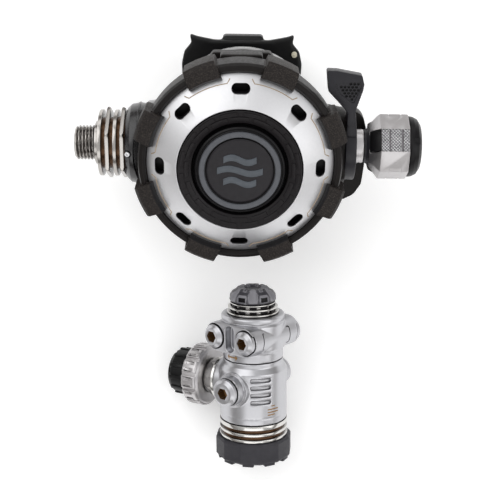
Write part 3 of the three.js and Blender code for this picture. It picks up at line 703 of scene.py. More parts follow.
def make_emblem():
    bars = [shifted(wave_bar(length, 2.7, 1.0), 0, 0, z) for length, z in ((13, 4.6), (18, 0), (13, -4.6))]
    piece("purge_waves", bevelled(gathered(*bars), 0.12, 2), SECOND, "mark", "grey_plastic",
          body="purge_button")


# ---------------------------------------------------------------- second stage: case and rear

MOUTH_Z = 18
BELL_RADIUS, BELL_Z = 27, 11.5
EXHAUST_Z = -24
SEAT_RADIUS, SEAT_FACE = 14.5, 43.5
COLLAR_RADIUS = 14.5


def case_outside():
    cup = lathe("y", [
        (0, 8.6), (38.5, 8.6), (38.5, 13), (36.5, 22), (33, 31), (26, 38), (16, 42), (0, 43),
    ], 96)
    bell = shifted(lathe("y", [
        (0, 18), (30.2, 18), (30.6, 27), (28.8, 27.8), (28.8, 29.6), (31.2, 30.4), (31.6, 34), (29.6, 35.2),
        (29.6, 36.6),
        (30.8, 37.4), (30.4, 39.6), (22, 44), (0, 44),
    ], 128), 0.6, 0, 7.6)
    bell = cut(bell, block((-60, 0, -60), (60, 60, -4)))
    brow = prism("y", [(-14.6, 30), (14.6, 30), (14.0, 36.5), (11.5, 39.9), (-11.5, 39.9), (-14.0, 36.5)],
                 21, 26.5, 0.8)
    ledge = prism("y", [(-9.2, 30), (9.2, 30), (8.4, 41.2), (-8.4, 41.2)], 12, 18.5, 0.8)
    left = shifted(lathe("x", [
        (0, -44), (12, -44), (12, -38.9), (18, -38.9), (19, -30), (17, -20), (15.5, 0), (0, 0),
    ]), 0, VALVE_Y, 0)
    right = shifted(lathe("x", [
        (0, 0), (15.5, 0), (17, 20), (19, 30), (17, 38), (16, 43.4), (0, 43.4),
    ]), 0, VALVE_Y, 0)
    guard = prism("y", [
        (30, -30), (38, -29.5), (45.6, -27.1), (49.5, -25), (52.6, -20), (53.4, -12), (53.4, 5), (52, 9.8),
        (50, 12),
        (47, 12.6), (30, 12.6),
    ], 32, 40, 2.0)
    guard = cut(guard, shifted(rod("x", COLLAR_RADIUS + 0.6, 42.4, 48.2, ROUND), 0, VALVE_Y, 0),
                shifted(rod("x", 8.6, 40, 60, ROUND), 0, VALVE_Y, 0))
    mouth = prism("y", obround(30, 17, 0, MOUTH_Z), 40, 60)
    seat = shifted(rod("y", SEAT_RADIUS, 26, SEAT_FACE, ROUND), 0, 0, EXHAUST_Z)
    return joined(cup, bell, brow, ledge, left, right, guard, mouth, seat)


def make_case():
    inside = lathe("y", [
        (0, 7), (33.5, 7), (33.5, 14), (31.5, 22), (28, 29.5), (22, 36), (14, 39.5), (0, 40.2),
    ], 96)
    bell_inside = shifted(rod("y", BELL_RADIUS - 3.5, 21, 31, ROUND), 0, 0, BELL_Z)
    front = lathe("y", [(0, -20), (60, -20), (60, 11.9), (38.5, 11.9), (38.5, 8.6), (0, 8.6)], 96)
    bore = shifted(rod("x", 7, -50, 50, ROUND), 0, VALVE_Y, 0)
    mouth = prism("y", obround(24, 11, 0, MOUTH_Z), 30, 70)
    exhaust = shifted(rod("y", 9, 24, 50, ROUND), 0, 0, EXHAUST_Z)
    case = cut(case_outside(), front, inside, bell_inside, bore, mouth, exhaust)

    def on_brow(center, normal):
        return center.z > 29 and center.y < 26.8 and abs(center.x) < 15 or center.x > 36 and center.y > 11
    piece("case_shell", moulded(case, 0.6, 3), SECOND, "gloss", "black_gloss",
          "second_stage_case", accent="band", accent_where=on_brow)


def make_mouthpiece():
    neck = prism("y", obround(34.5, 21.5, 0, MOUTH_Z), 46.5, 66)
    rib = prism("y", obround(37, 24, 0, MOUTH_Z), 57, 59)
    half_lobe = [(20, -11), (24.5, -7), (26.6, 0), (26.8, 6), (25.6, 11.5), (22.4, 15.4), (23.2, 19.4),
                 (20.4, 18.4),
                 (12, 17.0)]
    lobes = [(-20, -11)] + half_lobe + [(-u, v) for u, v in half_lobe[:0:-1]]
    shield = shifted(prism("y", lobes, 62.5, 66), 0, 0, MOUTH_Z)

    def bent(point):
        return Vector((point.x, point.y + 2.4 * (point.x / 27) ** 2 - 0.4, point.z))
    shield = moved_points(moulded(shield, 0.6, 2), bent)
    tab = prism("y", [(-8.6, 26), (9.4, 26), (9.4, 35.8), (8.4, 36.6), (-7.6, 36.6), (-8.6, 35.8)], 65, 70,
                0.6)
    shield = gathered(shield, tab)
    root = prism("y", obround(40, 17, 0, MOUTH_Z), 65, 78)
    parts = [neck, rib, shield, root]
    for side in (-1, 1):
        wing = spun(prism("y", obround(14, 4), 74, 88), "y", -14 * side)
        parts.append(shifted(wing, 17 * side, 0, MOUTH_Z))
        stop = prism("y", [(-6, -6), (6, -6), (6, 8), (-6, 8)], 85, 87.8, 2.0)
        parts.append(shifted(stop, 17 * side, 0, MOUTH_Z))
    whole = moulded(gathered(*parts), 0.55, 3)
    space = prism("y", obround(30.4, 17.4, 0, MOUTH_Z), 40, 60.3)
    bore = prism("y", obround(24, 11, 0, MOUTH_Z), 55, 80)
    piece("mouthpiece_bite", cut(whole, space, bore), SECOND, "rubber", "black_rubber", "mouthpiece")
    dot = lathe("y", [(0, 60.6), (0.45, 60.6), (0.55, 60.9), (1.2, 60.9), (1.2, 63), (0, 63)], 24, 0.1)
    piece("mouthpiece_dot", shifted(dot, 23.2, 1.0, MOUTH_Z + 11), SECOND, "cream", "black_rubber")
    strap = cut(prism("y", obround(38.3, 25.3, 0, MOUTH_Z), 51.2, 55.3),
                prism("y", obround(35, 22, 0, MOUTH_Z), 50, 57))
    lock = prism("z", [(-3, 51), (3, 51), (3, 55.5), (-3, 55.5)], MOUTH_Z + 12.2, MOUTH_Z + 14.2, 0.4)
    strap = gathered(bevelled(strap, 0.3), bevelled(lock, 0.3))
    piece("mouthpiece_tie", strap, SECOND, "matte", "black_matte", "mouthpiece_clamp")


def make_exhaust():
    collar = shifted(rod("y", SEAT_RADIUS + 3.5, 35, 49, ROUND), 0, 0, EXHAUST_Z)
    outline = [(36, -44), (47, -47.2), (51.6, -43.9), (52.8, -34), (50, -24), (36, -22)]
    duct = prism("x", outline, -29.5, 29.5, 2.0)
    lips = [prism("x", outline, low, high, 2.0) for low, high in ((-29.6, -27.2), (27.2, 29.6))]
    ridges = []
    for lip in lips:
        def swell(point):
            return Vector((point.x, 44 + (point.y - 44) * 1.0, -34 + (point.z + 34) * 1.02))
        ridges.append(moved_points(lip, swell))
    whole = joined(collar, duct, *ridges)
    seat = shifted(rod("y", SEAT_RADIUS + 0.3, 33, SEAT_FACE + 0.3, ROUND), 0, 0, EXHAUST_Z)
    bell = shifted(lathe("y", [
        (0, 15), (27.6, 15), (27.6, 33.4), (25.1, 36.4), (25.1, 40.4), (18.6, 44.6), (0, 44.6),
    ], 96), 0, 0, BELL_Z)
    cup = lathe("y", [(0, 20), (37.5, 20), (33.9, 31.1), (26.7, 38.5), (16.5, 42.5), (0, 43.5)], 96)
    passage = prism("x", [(39.5, -41.5), (46.5, -44.3), (49.4, -42), (50.3, -34), (48, -26.5), (39.5, -25)],
                    -32, 32, 1.2)
    inlet = shifted(rod("y", 13, 40, 46.5, ROUND), 0, 0, EXHAUST_Z)
    whole = cut(whole, seat, bell, cup, passage, inlet)
    piece("exhaust_duct", moulded(whole, 0.5, 2), SECOND, "rubber", "black_rubber", "exhaust_tee")


# ---------------------------------------------------------------- second stage: hose inlet

THREAD_RADIUS, THREAD_DEPTH = 7.3, 0.9
THREAD_PITCH = 25.4 / 18
INLET_END, FIN_START = -68.9, -60.4


def helical_thread(start, end, major, depth, pitch, bore):
    """A threaded spigot along x whose crest winds round it, with a bore."""
    around_steps, rows = 72, int(ceil((end - start) / pitch * 12))
    bm = bmesh.new()
    grid = []
    for i in range(rows + 1):
        x = start + (end - start) * i / rows
        entry = min(1.0, (x - start) / (0.6 * pitch))
        ring = []
        for k in range(around_steps):
            phase = (x - start) / pitch - k / around_steps
            crest = abs(2 * (phase - floor(phase)) - 1)
            rise = min(1.0, max(0.0, 1.35 * crest - 0.12)) * entry
            ring.append(bm.verts.new(on_axis("x", major - depth + depth * rise, x,
                                             2 * pi * k / around_steps)))
        grid.append(ring)
    for radius, x in ((bore, end), (bore, start + 0.5), (bore + 0.5, start)):
        grid.append([bm.verts.new(on_axis("x", radius, x,
                                          2 * pi * k / around_steps)) for k in range(around_steps)])
    for low, high in zip(grid, grid[1:] + grid[:1]):
        for k in range(around_steps):
            n = (k + 1) % around_steps
            bm.faces.new((low[k], low[n], high[n], high[k]))
    return solid(bm)


def make_inlet():
    spigot = helical_thread(INLET_END, -58.3, THREAD_RADIUS, THREAD_DEPTH, THREAD_PITCH, 3.9)
    core = lathe("x", [(2, FIN_START), (9, FIN_START), (9, -44.2), (2, -44.2)], ROUND, 0.2)
    piece("hose_thread", gathered(spigot, core), VALVE, "fins", "polished_chrome", "inlet_fitting")


def hexagon_fin(low, high, radius):
    """A hexagonal washer with chamfered corners."""
    outline = filleted(polygon(6, radius, radians(30)), 0.5, 2)
    plate = prism("x", outline, low, high)
    bounds = lathe("x", [
        (0, low), (radius - 0.7, low), (radius, low + 0.4), (radius, high - 0.4), (radius - 0.7, high),
        (0, high),
    ], FINE)
    return combined(plate, bounds, "INTERSECT")


def make_fins():
    fins = [tube("x", 9.3, 13.9, low, high, FINE, 0.3) for low, high in ((-58.6, -57.1), (-52.3, -50.8))]
    bore = rod("x", 9.3, -70, -40, ROUND)
    nut = cut(hexagon_fin(-55.4, -53.9, 15.6), bore)
    piece("fin_washers", gathered(*fins, bevelled(nut, 0.15)), VALVE, "fins", "polished_chrome",
          "heat_exchanger")
    spacers = [tube("x", 9.2, radius, low, high, ROUND) for radius, low, high in (
        (10.6, -57.2, -55.3), (10.6, -54.0, -52.2), (11.0, -50.9, -49.2), (11.4, -47.8, -47.2))]
    piece("fin_spacers", gathered(*spacers), VALVE, "bronze", "polished_chrome")
    last = cut(hexagon_fin(-49.3, -47.8, 15.5), rod("x", 9.3, -70, -40, ROUND))
    piece("fin_nut", bevelled(last, 0.15), VALVE, "fins", "polished_chrome", "heat_exchanger_nut")


SCREW_PLACE = (-45.9, 0, 0.6)
RING_SPACE = 43.7              # radius kept clear of the bumper ring


def make_sleeve():
    shell = lathe("x", [
        (9.4, -47.3), (13.9, -47.3), (14.9, -46.8), (16.4, -45.2), (17, -42), (16.8, -39.2), (12.3, -39.2),
        (12.3, -44.3),
        (9.4, -44.3),
    ], FINE, 0.3)
    ring_space = shifted(rod("y", RING_SPACE, -20, 12, FINE), 0, -VALVE_Y, 0)
    screw_hole = shifted(rod("y", 1.5, -20, -13.4), *SCREW_PLACE)
    rib = lathe("x", [(16.2, -42.6), (17.3, -42.2), (17.3, -41.4), (16.2, -41)], FINE, 0.2)
    shell = bevelled(cut(shell, copied(ring_space), screw_hole), 0.2, 2, 45)
    piece("left_sleeve", gathered(shell, cut(rib, ring_space)), VALVE, "sleeve", "black_gloss",
          "inlet_sleeve")
    screw = cut(rod("y", 1.05, -16.7, -13.8, 24, 0.2), prism("y", polygon(6, 0.6), -18, -16.0))
    piece("set_screw", shifted(screw, *SCREW_PLACE), VALVE, "steel", "stainless", "sleeve_screw")


# ---------------------------------------------------------------- second stage: knob and lever

KNOB_LOBES = 3
BAY_TURN = 150                 # degrees from straight back to the first bay
BAY_FLOOR = 12.3
BAY_HALF = 4.7
LOBE_RADIUS = 14.0
METAL_START, METAL_END = 57.8, 69.4
KNOB_GROOVES = (61.3, 66.4)
KNURL_BASE = BAY_FLOOR - 0.45


def knob_outline():
    """Cross-section in (y, z): flats for the bays and a ridge in the middle of each lobe."""
    points = []
    for i in range(KNOB_LOBES):
        turn = radians(BAY_TURN + 360 * i / KNOB_LOBES)
        for v in (-BAY_HALF, BAY_HALF):
            y, z = BAY_FLOOR + 0.5, v
            points.append((y * cos(turn) - z * sin(turn), y * sin(turn) + z * cos(turn)))
        ridge = turn + radians(60)
        points.append((LOBE_RADIUS * cos(ridge), LOBE_RADIUS * sin(ridge)))
    return filleted(points, 0.9, 4)


def make_knob():
    outline = knob_outline()
    stations = [(0.64, 53.3), (0.66, 53.5), (0.985, 57.4), (1.0, 57.9), (1.0, 69.0), (0.985, METAL_END)]
    shell = loft("x", [(scaled(outline, factor), x) for factor, x in stations])
    bay = block((54, BAY_FLOOR - 0.5, -BAY_HALF), (72, 20, BAY_HALF))
    mouth = block((52, 7.4, -BAY_HALF), (METAL_START, 20, BAY_HALF))
    shell = cut(shell, rod("x", 8.0, 50, 56, ROUND), rod("x", 3.9, 50, 66))
    shell = cut(shell, around("x", KNOB_LOBES, bay, BAY_TURN), around("x", KNOB_LOBES, mouth, BAY_TURN))
    grooves = [tube("x", 13.4, 16, x - 0.25, x + 0.25) for x in KNOB_GROOVES]
    shell = cut(shell, *grooves)
    piece("knob_shell", bevelled(shell, 0.2, 1, 30), VALVE, "knob", "satin_chrome",
          "adjustment_knob", body="adjustment_knob")
    tongue = prism("z", [(53.4, 7.5), (METAL_START - 0.1, 7.5), (METAL_START - 0.1, 11.6), (54.5, 9.6),
                         (53.4, 8.8)], -4.4, 4.4)
    tongue = bevelled(tongue, 0.4)
    piece("knob_tongues", around("x", KNOB_LOBES, tongue, BAY_TURN), VALVE, "matte", "black_matte",
          body="adjustment_knob")


def knurl_height(x, across, pitch):
    def ridge(value):
        return abs(2 * (value - floor(value)) - 1)
    return min(ridge((x + across) / pitch), ridge((x - across) / pitch))


def make_knurl():
    step, pitch, depth = 0.11, 1.3, 0.6
    width = 2 * (BAY_HALF - 0.15)
    columns, rows = int((METAL_END - METAL_START) / step), int(width / step)
    bm = bmesh.new()
    grid = []
    for i in range(columns + 1):
        x = METAL_START + 0.05 + (METAL_END - 0.3 - METAL_START) * i / columns
        groove = any(abs(x - middle) < 0.3 for middle in KNOB_GROOVES)
        line = []
        for k in range(rows + 1):
            across = -width / 2 + width * k / rows
            rise = 0.0 if groove else 0.2 + depth * min(1.0, 1.5 * knurl_height(x, across, pitch))
            line.append(bm.verts.new((x, KNURL_BASE + rise, across)))
        grid.append(line)
    for near, far in zip(grid, grid[1:]):
        for k in range(rows):
            bm.faces.new((near[k], near[k + 1], far[k + 1], far[k]))
    rim = [e for e in bm.edges if e.is_boundary]
    skirt = bmesh.ops.extrude_edge_only(bm, edges=rim)["geom"]
    for vert in [g for g in skirt if isinstance(g, bmesh.types.BMVert)]:
        vert.co.y = BAY_FLOOR - 1.2
    bmesh.ops.contextual_create(bm, geom=[e for e in bm.edges if e.is_boundary])
    insert = around("x", KNOB_LOBES, solid(bm), BAY_TURN)

    # Faces low in the knurl's valleys take the dark copy of the metal: painted shade.
    def in_painted_valley_shade(center, normal):
        turns = [Vector((cos(radians(BAY_TURN + 120 * i)),
                         sin(radians(BAY_TURN + 120 * i)))) for i in range(3)]
        return max(center.yz.dot(turn) for turn in turns) < KNURL_BASE + 0.2 + 0.16
    piece("knob_knurl", insert, VALVE, "knurl", "satin_chrome",
          accent="painted_valley_shade", accent_where=in_painted_valley_shade, body="adjustment_knob")


def make_knob_ends():
    cap = lathe("x", [(0, 69.6), (12.4, 69.6), (12.7, 70.2), (12.5, 71.6), (11.6, 73.4), (9.6, 74.7),
                      (7, 75.1), (0, 75.1)],
                FINE, 0.4)
    notch = block((71.4, 11.2, -1.4), (76, 14, 1.4))
    cap = cut(cap, around("x", KNOB_LOBES, notch, BAY_TURN))
    piece("knob_end", bevelled(cap, 0.25, 2, 35), VALVE, "matte", "black_matte",
          "knob_cap", body="adjustment_knob")
    neck = lathe("x", [(3.9, 51.4), (6.9, 51.4), (7.0, 52.2), (7.7, 53.3), (7.7, 55.8), (3.9, 55.8)], ROUND,
                 0.2)
    piece("neck_collar", neck, VALVE, "slate", "slate_plastic", "knob_neck")
    nut = lathe("x", [(4.9, 40.3), (7.1, 40.3), (7.1, 50.6), (6.9, 51.2), (4.9, 51.2)], FINE, 0.2)
    piece("barrel_ring", nut, VALVE, "knob", "polished_chrome", "barrel_nut")


PADDLE = [
    (33.9, 35.6), (38, 35.5), (48, 33.7), (49, 30.1), (48.6, 27.4), (46.2, 19.6), (46, 13), (42.9, 13),
    (42.9, 18.2),
    (41.6, 20), (34.8, 27.2),
]
PAD = [(37.4, 30.4), (47.6, 31.3), (48, 29), (45.4, 22.6), (44.6, 22.4), (39.4, 26.2)]


def inside_outline(u, v, outline, margin):
    """Whether a point is inside a convex outline by a margin."""
    for (u1, v1), (u2, v2) in zip(outline, outline[1:] + outline[:1]):
        edge = Vector((u2 - u1, v2 - v1)).normalized()
        if (u - u1) * edge.y - (v - v1) * edge.x < margin:
            return False
    return True


def pad_dots():
    """Centres of the paddle's dots in a staggered pattern."""
    pitch = 1.5
    dots = []
    for row in range(8):
        v = 30.2 - row * pitch * 0.83
        for column in range(10):
            u = 37.6 + column * pitch + (row % 2) * pitch / 2
            if inside_outline(u, v, PAD, 0.65):
                dots.append((u, v))
    return dots


def make_lever():
    collar = tube("x", 7.6, 14.2, 42.9, 47.5, FINE, 0.6)
    paddle = bevelled(prism("y", PADDLE, -13.6, -8.6, 0.8), 0.6, 3)
    arm = bevelled(prism("y", [(43, 8), (47.4, 8), (46.4, 18), (43, 18)], -12.6, -5.5), 0.4)
    recess = prism("y", PAD, -15, -13.1, 0.4)
    holes = [shifted(rod("y", 0.6, -14, -12.5, 12), u, 0, v) for u, v in pad_dots()]
    paddle = cut(paddle, recess, gathered(*holes))

    # The walls and floors of the pad's holes take black matte: painted shade in the holes.
    def in_hole_painted_shade(center, normal):
        return center.y > -13.05 and inside_outline(center.x, center.z, PAD, 0.2) and center.y < -12.4
    piece("lever_paddle", gathered(paddle), VALVE, "slate", "slate_plastic",
          accent="matte", accent_where=in_hole_painted_shade, body="venturi_lever")
    piece("lever_collar", gathered(collar, arm), VALVE, "slate", "slate_plastic",
          "venturi_lever", body="venturi_lever")


# ---------------------------------------------------------------- first stage

CAP_RADIUS, CAP_HEIGHT = 18.1, 11.3
BODY_RADIUS, NECK_RADIUS = 16.1, 14.4
BODY_LOW, BODY_HIGH = 19.9, 49.9
BOSS_TURNS = (-38, 142)
BOSS_Z, BOSS_RADIUS, BOSS_REACH = 37.3, 7.1, 20.4
BLOCK_SIZE = (31, 14.5)
TURRET_REACH, TURRET_TOP = 16.5, 71.8
PORT_SPACING = 19.4


def boss_rod(turn, radius, low, high):
    return shifted(spun(rod("y", radius, low, high, ROUND), "z", turn), 0, 0, BOSS_Z)


def make_body():
    core = lathe("z", [
        (13.3, 20.2), (BODY_RADIUS, 20.2), (BODY_RADIUS, 45), (NECK_RADIUS, 47.5), (NECK_RADIUS, BODY_HIGH),
        (0, BODY_HIGH), (0, 30.6), (9, 30.6), (9, 27.9), (13.3, 27.9),
    ], FINE)
    bosses = [boss_rod(turn, BOSS_RADIUS, -BOSS_REACH, -8) for turn in BOSS_TURNS]
    fillets = [boss_rod(turn, BOSS_RADIUS + 1.2, -16.4, -8) for turn in BOSS_TURNS]
    pad = shifted(spun(rod("y", 10.4, 8, 16.8, ROUND), "z", 60), 0, 0, CONNECTION_Z)
    body = joined(core, *fillets, *bosses, pad)
    ports = [boss_rod(turn, 6.3, -BOSS_REACH - 1, -11.5) for turn in BOSS_TURNS]
    grooves = []
    for z in (30.6, 34.2, 37.8, 41.4):
        ring = tube("z", 14.9, 18, z, z + 1.9, FINE)
        grooves.append(cut(ring, block((-20, -20, z - 1), (-1.5, 20, z + 3)),
                           block((8, -20, z - 1), (20, 20, z + 3)),
                           block((-20, 0, z - 1), (20, 20, z + 3))))
    line = tube("z", 15.8, 18, 23.2, 23.7, FINE)
    spindle = rod("z", 3.2, 29, 44.5)
    bolt = rod("z", 5.3, 46.5, 52, ROUND)
    body = cut(body, *ports, *grooves, line, spindle, bolt)
    piece("first_stage_shell", moulded(body, 0.28, 8), FIRST, "satin", "satin_chrome", "first_stage_body")


def make_clamp_ring():
    profile = [
        (11, 11.6), (16.4, 11.6), (16.4, 12.9), (15.1, 13.2), (15.1, 14.5), (16.3, 14.8), (16.3, 16.0),
        (15.1, 16.3),
        (15.1, 17.6), (16.3, 17.9), (16.3, BODY_LOW), (13, BODY_LOW), (13, 26.2), (11, 26.2),
    ]

    def in_groove(center, normal):
        return center.xy.length < 15.6 and 12.9 < center.z < 18
    piece("clamp_rings", lathe("z", profile, FINE, 0.22), FIRST, "polished", "polished_chrome",
          "diaphragm_clamp", accent="bronze", accent_where=in_groove)


def make_base_cap():
    facets = 12
    outline = filleted(polygon(facets, CAP_RADIUS + 0.3, radians(9)), 1.2, 3)
    stations = [(0.955, 1.2), (1.0, 2.2), (1.0, CAP_HEIGHT - 0.9), (0.965, CAP_HEIGHT)]
    cup = loft("z", [(scaled(outline, factor), z) for factor, z in stations])
    cup = cut(cup, rod("z", 12.4, 5.4, 14, ROUND), rod("z", 8, 0, 7, ROUND))
    tab = bevelled(block((13.4, -2.7, 0.05), (17.3, 2.7, 2.0)), 0.35)
    tabs = around("z", 10, tab, 8)
    piece("base_cover", gathered(bevelled(cup, 0.3, 2, 30), tabs), FIRST, "cap", "charcoal_rubber",
          "base_cap")


def port_plug(name, stage, head, height, shank, length, body, node):
    plug = lathe("y", [
        (0, length), (shank, length), (shank, 0), (head - 0.5, 0), (head, -0.4), (head, -0.55 * height),
        (head - 0.5, -0.62 * height), (head - 1.6, -height), (head - 2.0, -height), (0, -height),
    ], ROUND, 0.25)
    socket = prism("y", polygon(6, 2.9), -height - 1, 1.2)
    plug = bevelled(cut(plug, socket), 0.12, 2, 40)

    def in_socket(center, normal):
        return Vector((center.x, center.z)).length < 2.85 and -height + 0.15 < center.y < 1.5
    piece(name, plug, stage, "satin", "satin_chrome", node,
          accent="socket", accent_where=in_socket, body=body)


def make_plugs():
    number = 0
    for side in (-1, 1):
        for x in (-PORT_SPACING / 2, PORT_SPACING / 2):
            number += 1
            seat = HEAD.moved(x, side * 15.1, TURRET_Z)
            seat = seat if side < 0 else seat.turned(pi)
            node = f"low_pressure_plug_{number}"
            port_plug(f"turret_plug_{number}", seat, 5.6, 3.6, 4.9, 7.2, "turret", node)
    for number, turn in enumerate(BOSS_TURNS, 1):
        seat = FIRST.turned(radians(turn)).moved(0, -BOSS_REACH - 0.3, BOSS_Z)
        port_plug(f"boss_plug_{number}", seat, 6.5, 3.2, 5.8, 7.6, "housing",
                  f"high_pressure_plug_{number}")


def make_turret():
    core = lathe("z", [
        (0, 50.2), (NECK_RADIUS, 50.2), (NECK_RADIUS, 54.6), (15.4, 56), (15.4, 67.8), (14.6, 68.6),
        (15.1, 69.4),
        (15.1, 71.2), (14.4, TURRET_TOP), (0, TURRET_TOP),
    ], FINE)
    bar = prism("y", obround(*BLOCK_SIZE, 0, TURRET_Z), -TURRET_REACH, TURRET_REACH)
    body = joined(core, bar)
    tools = [rod("z", 5.3, 45, 75, ROUND)]
    for side in (-1, 1):
        for x in (-PORT_SPACING / 2, PORT_SPACING / 2):
            port = rod("y", 6.0, 14.8, 20, ROUND)
            hole = rod("y", 5.2, 7, 16, ROUND)
            for tool in (port, hole):
                tools.append(shifted(spun(tool, "z", 180 if side < 0 else 0), x, 0, TURRET_Z))
        window = prism("y", [(v, u) for u, v in obround(12.6, 5.6)], 12.3, 20)
        tools.append(shifted(spun(window, "z", 180 if side < 0 else 0), 0, 0, TURRET_Z))
    panel = cut(
        prism("x", [(-9.5, 57.4), (9.5, 57.4), (9.5, 65.8), (-9.5, 65.8)], 12, 18, 1.0),
        prism("x", [(-9.0, 57.9), (9.0, 57.9), (9.0, 65.3), (-9.0, 65.3)], 11, 19, 0.8),
        rod("z", 16.2, 50, 70, ROUND))
    body = cut(moulded(cut(body, *tools), 0.28, 8), panel)
    piece("turret_head", body, HEAD, "satin", "satin_chrome", "turret", body="turret")


def make_turret_bolt():
    profile = [
        (0, 47), (5, 47), (5, 72.1), (12.4, 72.1), (12.4, 72.9), (10.2, 73.2), (10.2, 74.3), (12.0, 74.6),
        (12.0, 75.3),
        (10.0, 75.6), (10.0, 76.4), (10.8, 76.7), (10.8, 77.2), (0, 77.2),
    ]
    piece("bolt_rings", lathe("z", profile, FINE, 0.22), FIRST, "polished", "polished_chrome",
          "turret_bolt")
    slots = []
    for low, high in ((73.25, 74.25), (75.65, 76.35)):
        slots.append(around("z", 12, bevelled(block((9.6, -1.6, low), (10.7, 1.6, high)), 0.1)))
    piece("bolt_slots", gathered(*slots), FIRST, "matte", "black_matte")


def make_top_knob():
    dome = lathe("z", [
        (0, 77.5), (10.3, 77.5), (11.1, 78.3), (11.1, 80.4), (9.9, 82.0), (8.2, 83.0), (7.3, 84.0),
        (4.4, 84.0),
        (3.8, 83.2), (0, 83.2),
    ], FINE, 0.35)
    window = block((9.5, -2.0, 78.6), (12.5, 2.0, 80.9))
    tilt = Matrix.Translation((11.6, 0, 82.4)) @ Matrix.Rotation(radians(-40), 4, "Y")
    scallop = placed(rod("z", 2.6, -6, 6, 24), tilt)
    notch = block((3.2, -0.8, 83.3), (9.5, 0.8, 85))
    dome = cut(dome, around("z", 6, window), around("z", 6, scallop, 30), around("z", 6, notch))
    piece("top_cover", bevelled(dome, 0.2, 2, 30), FIRST, "charcoal", "charcoal_rubber", "top_knob")
    back = block((8.4, -1.9, 78.7), (9.9, 1.9, 80.8))
    piece("top_cover_windows", around("z", 6, back), FIRST, "matte", "black_matte")


WHEEL_LOW, WHEEL_HIGH = 23.4, 32.6


def make_connection():
    stem = lathe("y", [
        (2.6, 17.1), (9.9, 17.1), (10.2, 18.2), (8.4, 23.1), (6.4, 23.1), (6.4, 41.2), (4.9, 41.2),
        (4.9, 40), (3.8, 40),
        (3.8, 41.2), (2.6, 41.2),
    ], ROUND, 0.12)
    flute = shifted(rod("y", 1.6, 18.4, 24, 24), 0, 0, 10.8)
    stem = bevelled(cut(stem, around("y", 10, flute)), 0.15)
    piece("stem_fluted", stem, LINE, "polished", "satin_chrome", "tank_connection_stem")

    wheel = lathe("y", [
        (6.8, WHEEL_LOW), (13.2, WHEEL_LOW), (14.2, WHEEL_LOW + 1.0), (14.2, WHEEL_HIGH - 0.8),
        (13.4, WHEEL_HIGH),
        (8.8, WHEEL_HIGH), (8.8, 33.3), (9.6, 34), (9.6, 39.8), (8.8, 40.6), (6.8, 40.6),
    ], FINE, 0.25)
    half = radians(11.6)
    pad = lathe("y", [
        (13.6, WHEEL_LOW + 0.9), (14.4, WHEEL_LOW + 0.9), (15.1, WHEEL_LOW + 1.6), (15.1, WHEEL_HIGH - 1.0),
        (14.6, WHEEL_HIGH - 0.5), (13.6, WHEEL_HIGH - 0.5),
    ], 10, 0.0, (-half, half))
    pocket = [block((-2.4 if side < 0 else 1.0, WHEEL_LOW + 3.4, 14.5),
                    (-1.0 if side < 0 else 2.4, WHEEL_HIGH - 2.2, 17))
              for side in (-1, 1)]
    pads = around("y", 12, bevelled(cut(pad, *pocket), 0.15, 2, 30))
    threads = [lathe("y", [(9.4, y), (9.95, y + 0.35), (9.95, y + 0.55), (9.4, y + 0.9)],
                     FINE) for y in (34.4, 35.9, 37.4, 38.9)]
    piece("wheel_rim", gathered(wheel, pads, *threads), LINE, "knob", "satin_chrome",
          "handwheel", body="handwheel")

    cup = lathe("y", [
        (0, 41.6), (10.2, 41.6), (10.2, 32.9), (11.1, 32.9), (11.3, 34), (11.1, 40.6), (10.2, 42.6),
        (8.4, 43.7), (0, 44),
    ], FINE, 0.35)
    rib = bevelled(block((10.4, 33.2, -1.0), (11.7, 41.2, 1.0)), 0.3)
    notch = block((8.6, 40.8, -1.3), (12.5, 45, 1.3))
    cup = bevelled(cut(cup, around("y", 6, notch, 15)), 0.2, 2, 35)
    piece("dust_cover", gathered(cup, around("y", 12, rib)), LINE, "rubber", "black_rubber",
          "dust_cap", body="dust_cap")


def patch(radius, low, high, start, end, thickness=0.06):
    """A thin curved plate on a cylinder about z, between two heights and two angles in degrees."""
    profile = [(radius - 0.2, low), (radius + thickness, low), (radius + thickness, high),
               (radius - 0.2, high)]
    return lathe("z", profile, 8, 0.0, (radians(start), radians(end)))


ARROW_Z = 52.45                # height of the arrow's middle


def make_etchings():
    arrow = [patch(NECK_RADIUS, 52.1, 52.8, -101, -81)]
    for k in range(5):
        half = 0.28 * k + 0.1
        for start in (-103.5 + 0.9 * k, -79.5 - 0.9 * k):
            arrow.append(patch(NECK_RADIUS, ARROW_Z - half, ARROW_Z + half, start, start + 1.0))
    piece("swivel_arrow", gathered(*arrow), HEAD, "etch", "satin_chrome", body="turret")
    bars = [patch(BODY_RADIUS, z, z + 0.55, -66, -66 + span) for z,
            span in ((27.6, 21), (26.2, 21), (24.9, 14))]
    bars.append(patch(BODY_RADIUS, 29.2, 29.7, -59, -52))
    piece("data_bars", gathered(*bars), FIRST, "etch", "satin_chrome")


# ---------------------------------------------------------------- looks of the pieces inside

INNER_LOOKS = {
    "stainless": "steel", "brass": "brass", "black_matte": "matte", "black_rubber": "rubber",
    "black_gloss": "gloss", "satin_chrome": "satin", "polished_chrome": "polished",
    "slate_plastic": "slate", "grip_rubber": "band", "plate_silver": "plate", "grey_plastic": "ring",
    "charcoal_rubber": "charcoal",
}


def dress_inner_nodes():
    """The CAD nodes that no piece stands for keep their shapes and take the set's materials."""
    slots = {row["node"]: row["material_slot"] for row in frame["record"]["subparts"]}
    for name, node in frame["nodes"].items():
        node.data.materials.clear()
        node.data.materials.append(LOOKS[INNER_LOOKS[slots[name]]])


# ---------------------------------------------------------------- camera, floor and lights


CAMERA_LENS = 79.5             # millimetres, fitted to the photo with the values below
CAMERA_HEIGHT, CAMERA_BACK = 0.480, 0.0975
CAMERA_TILT = radians(9.19)


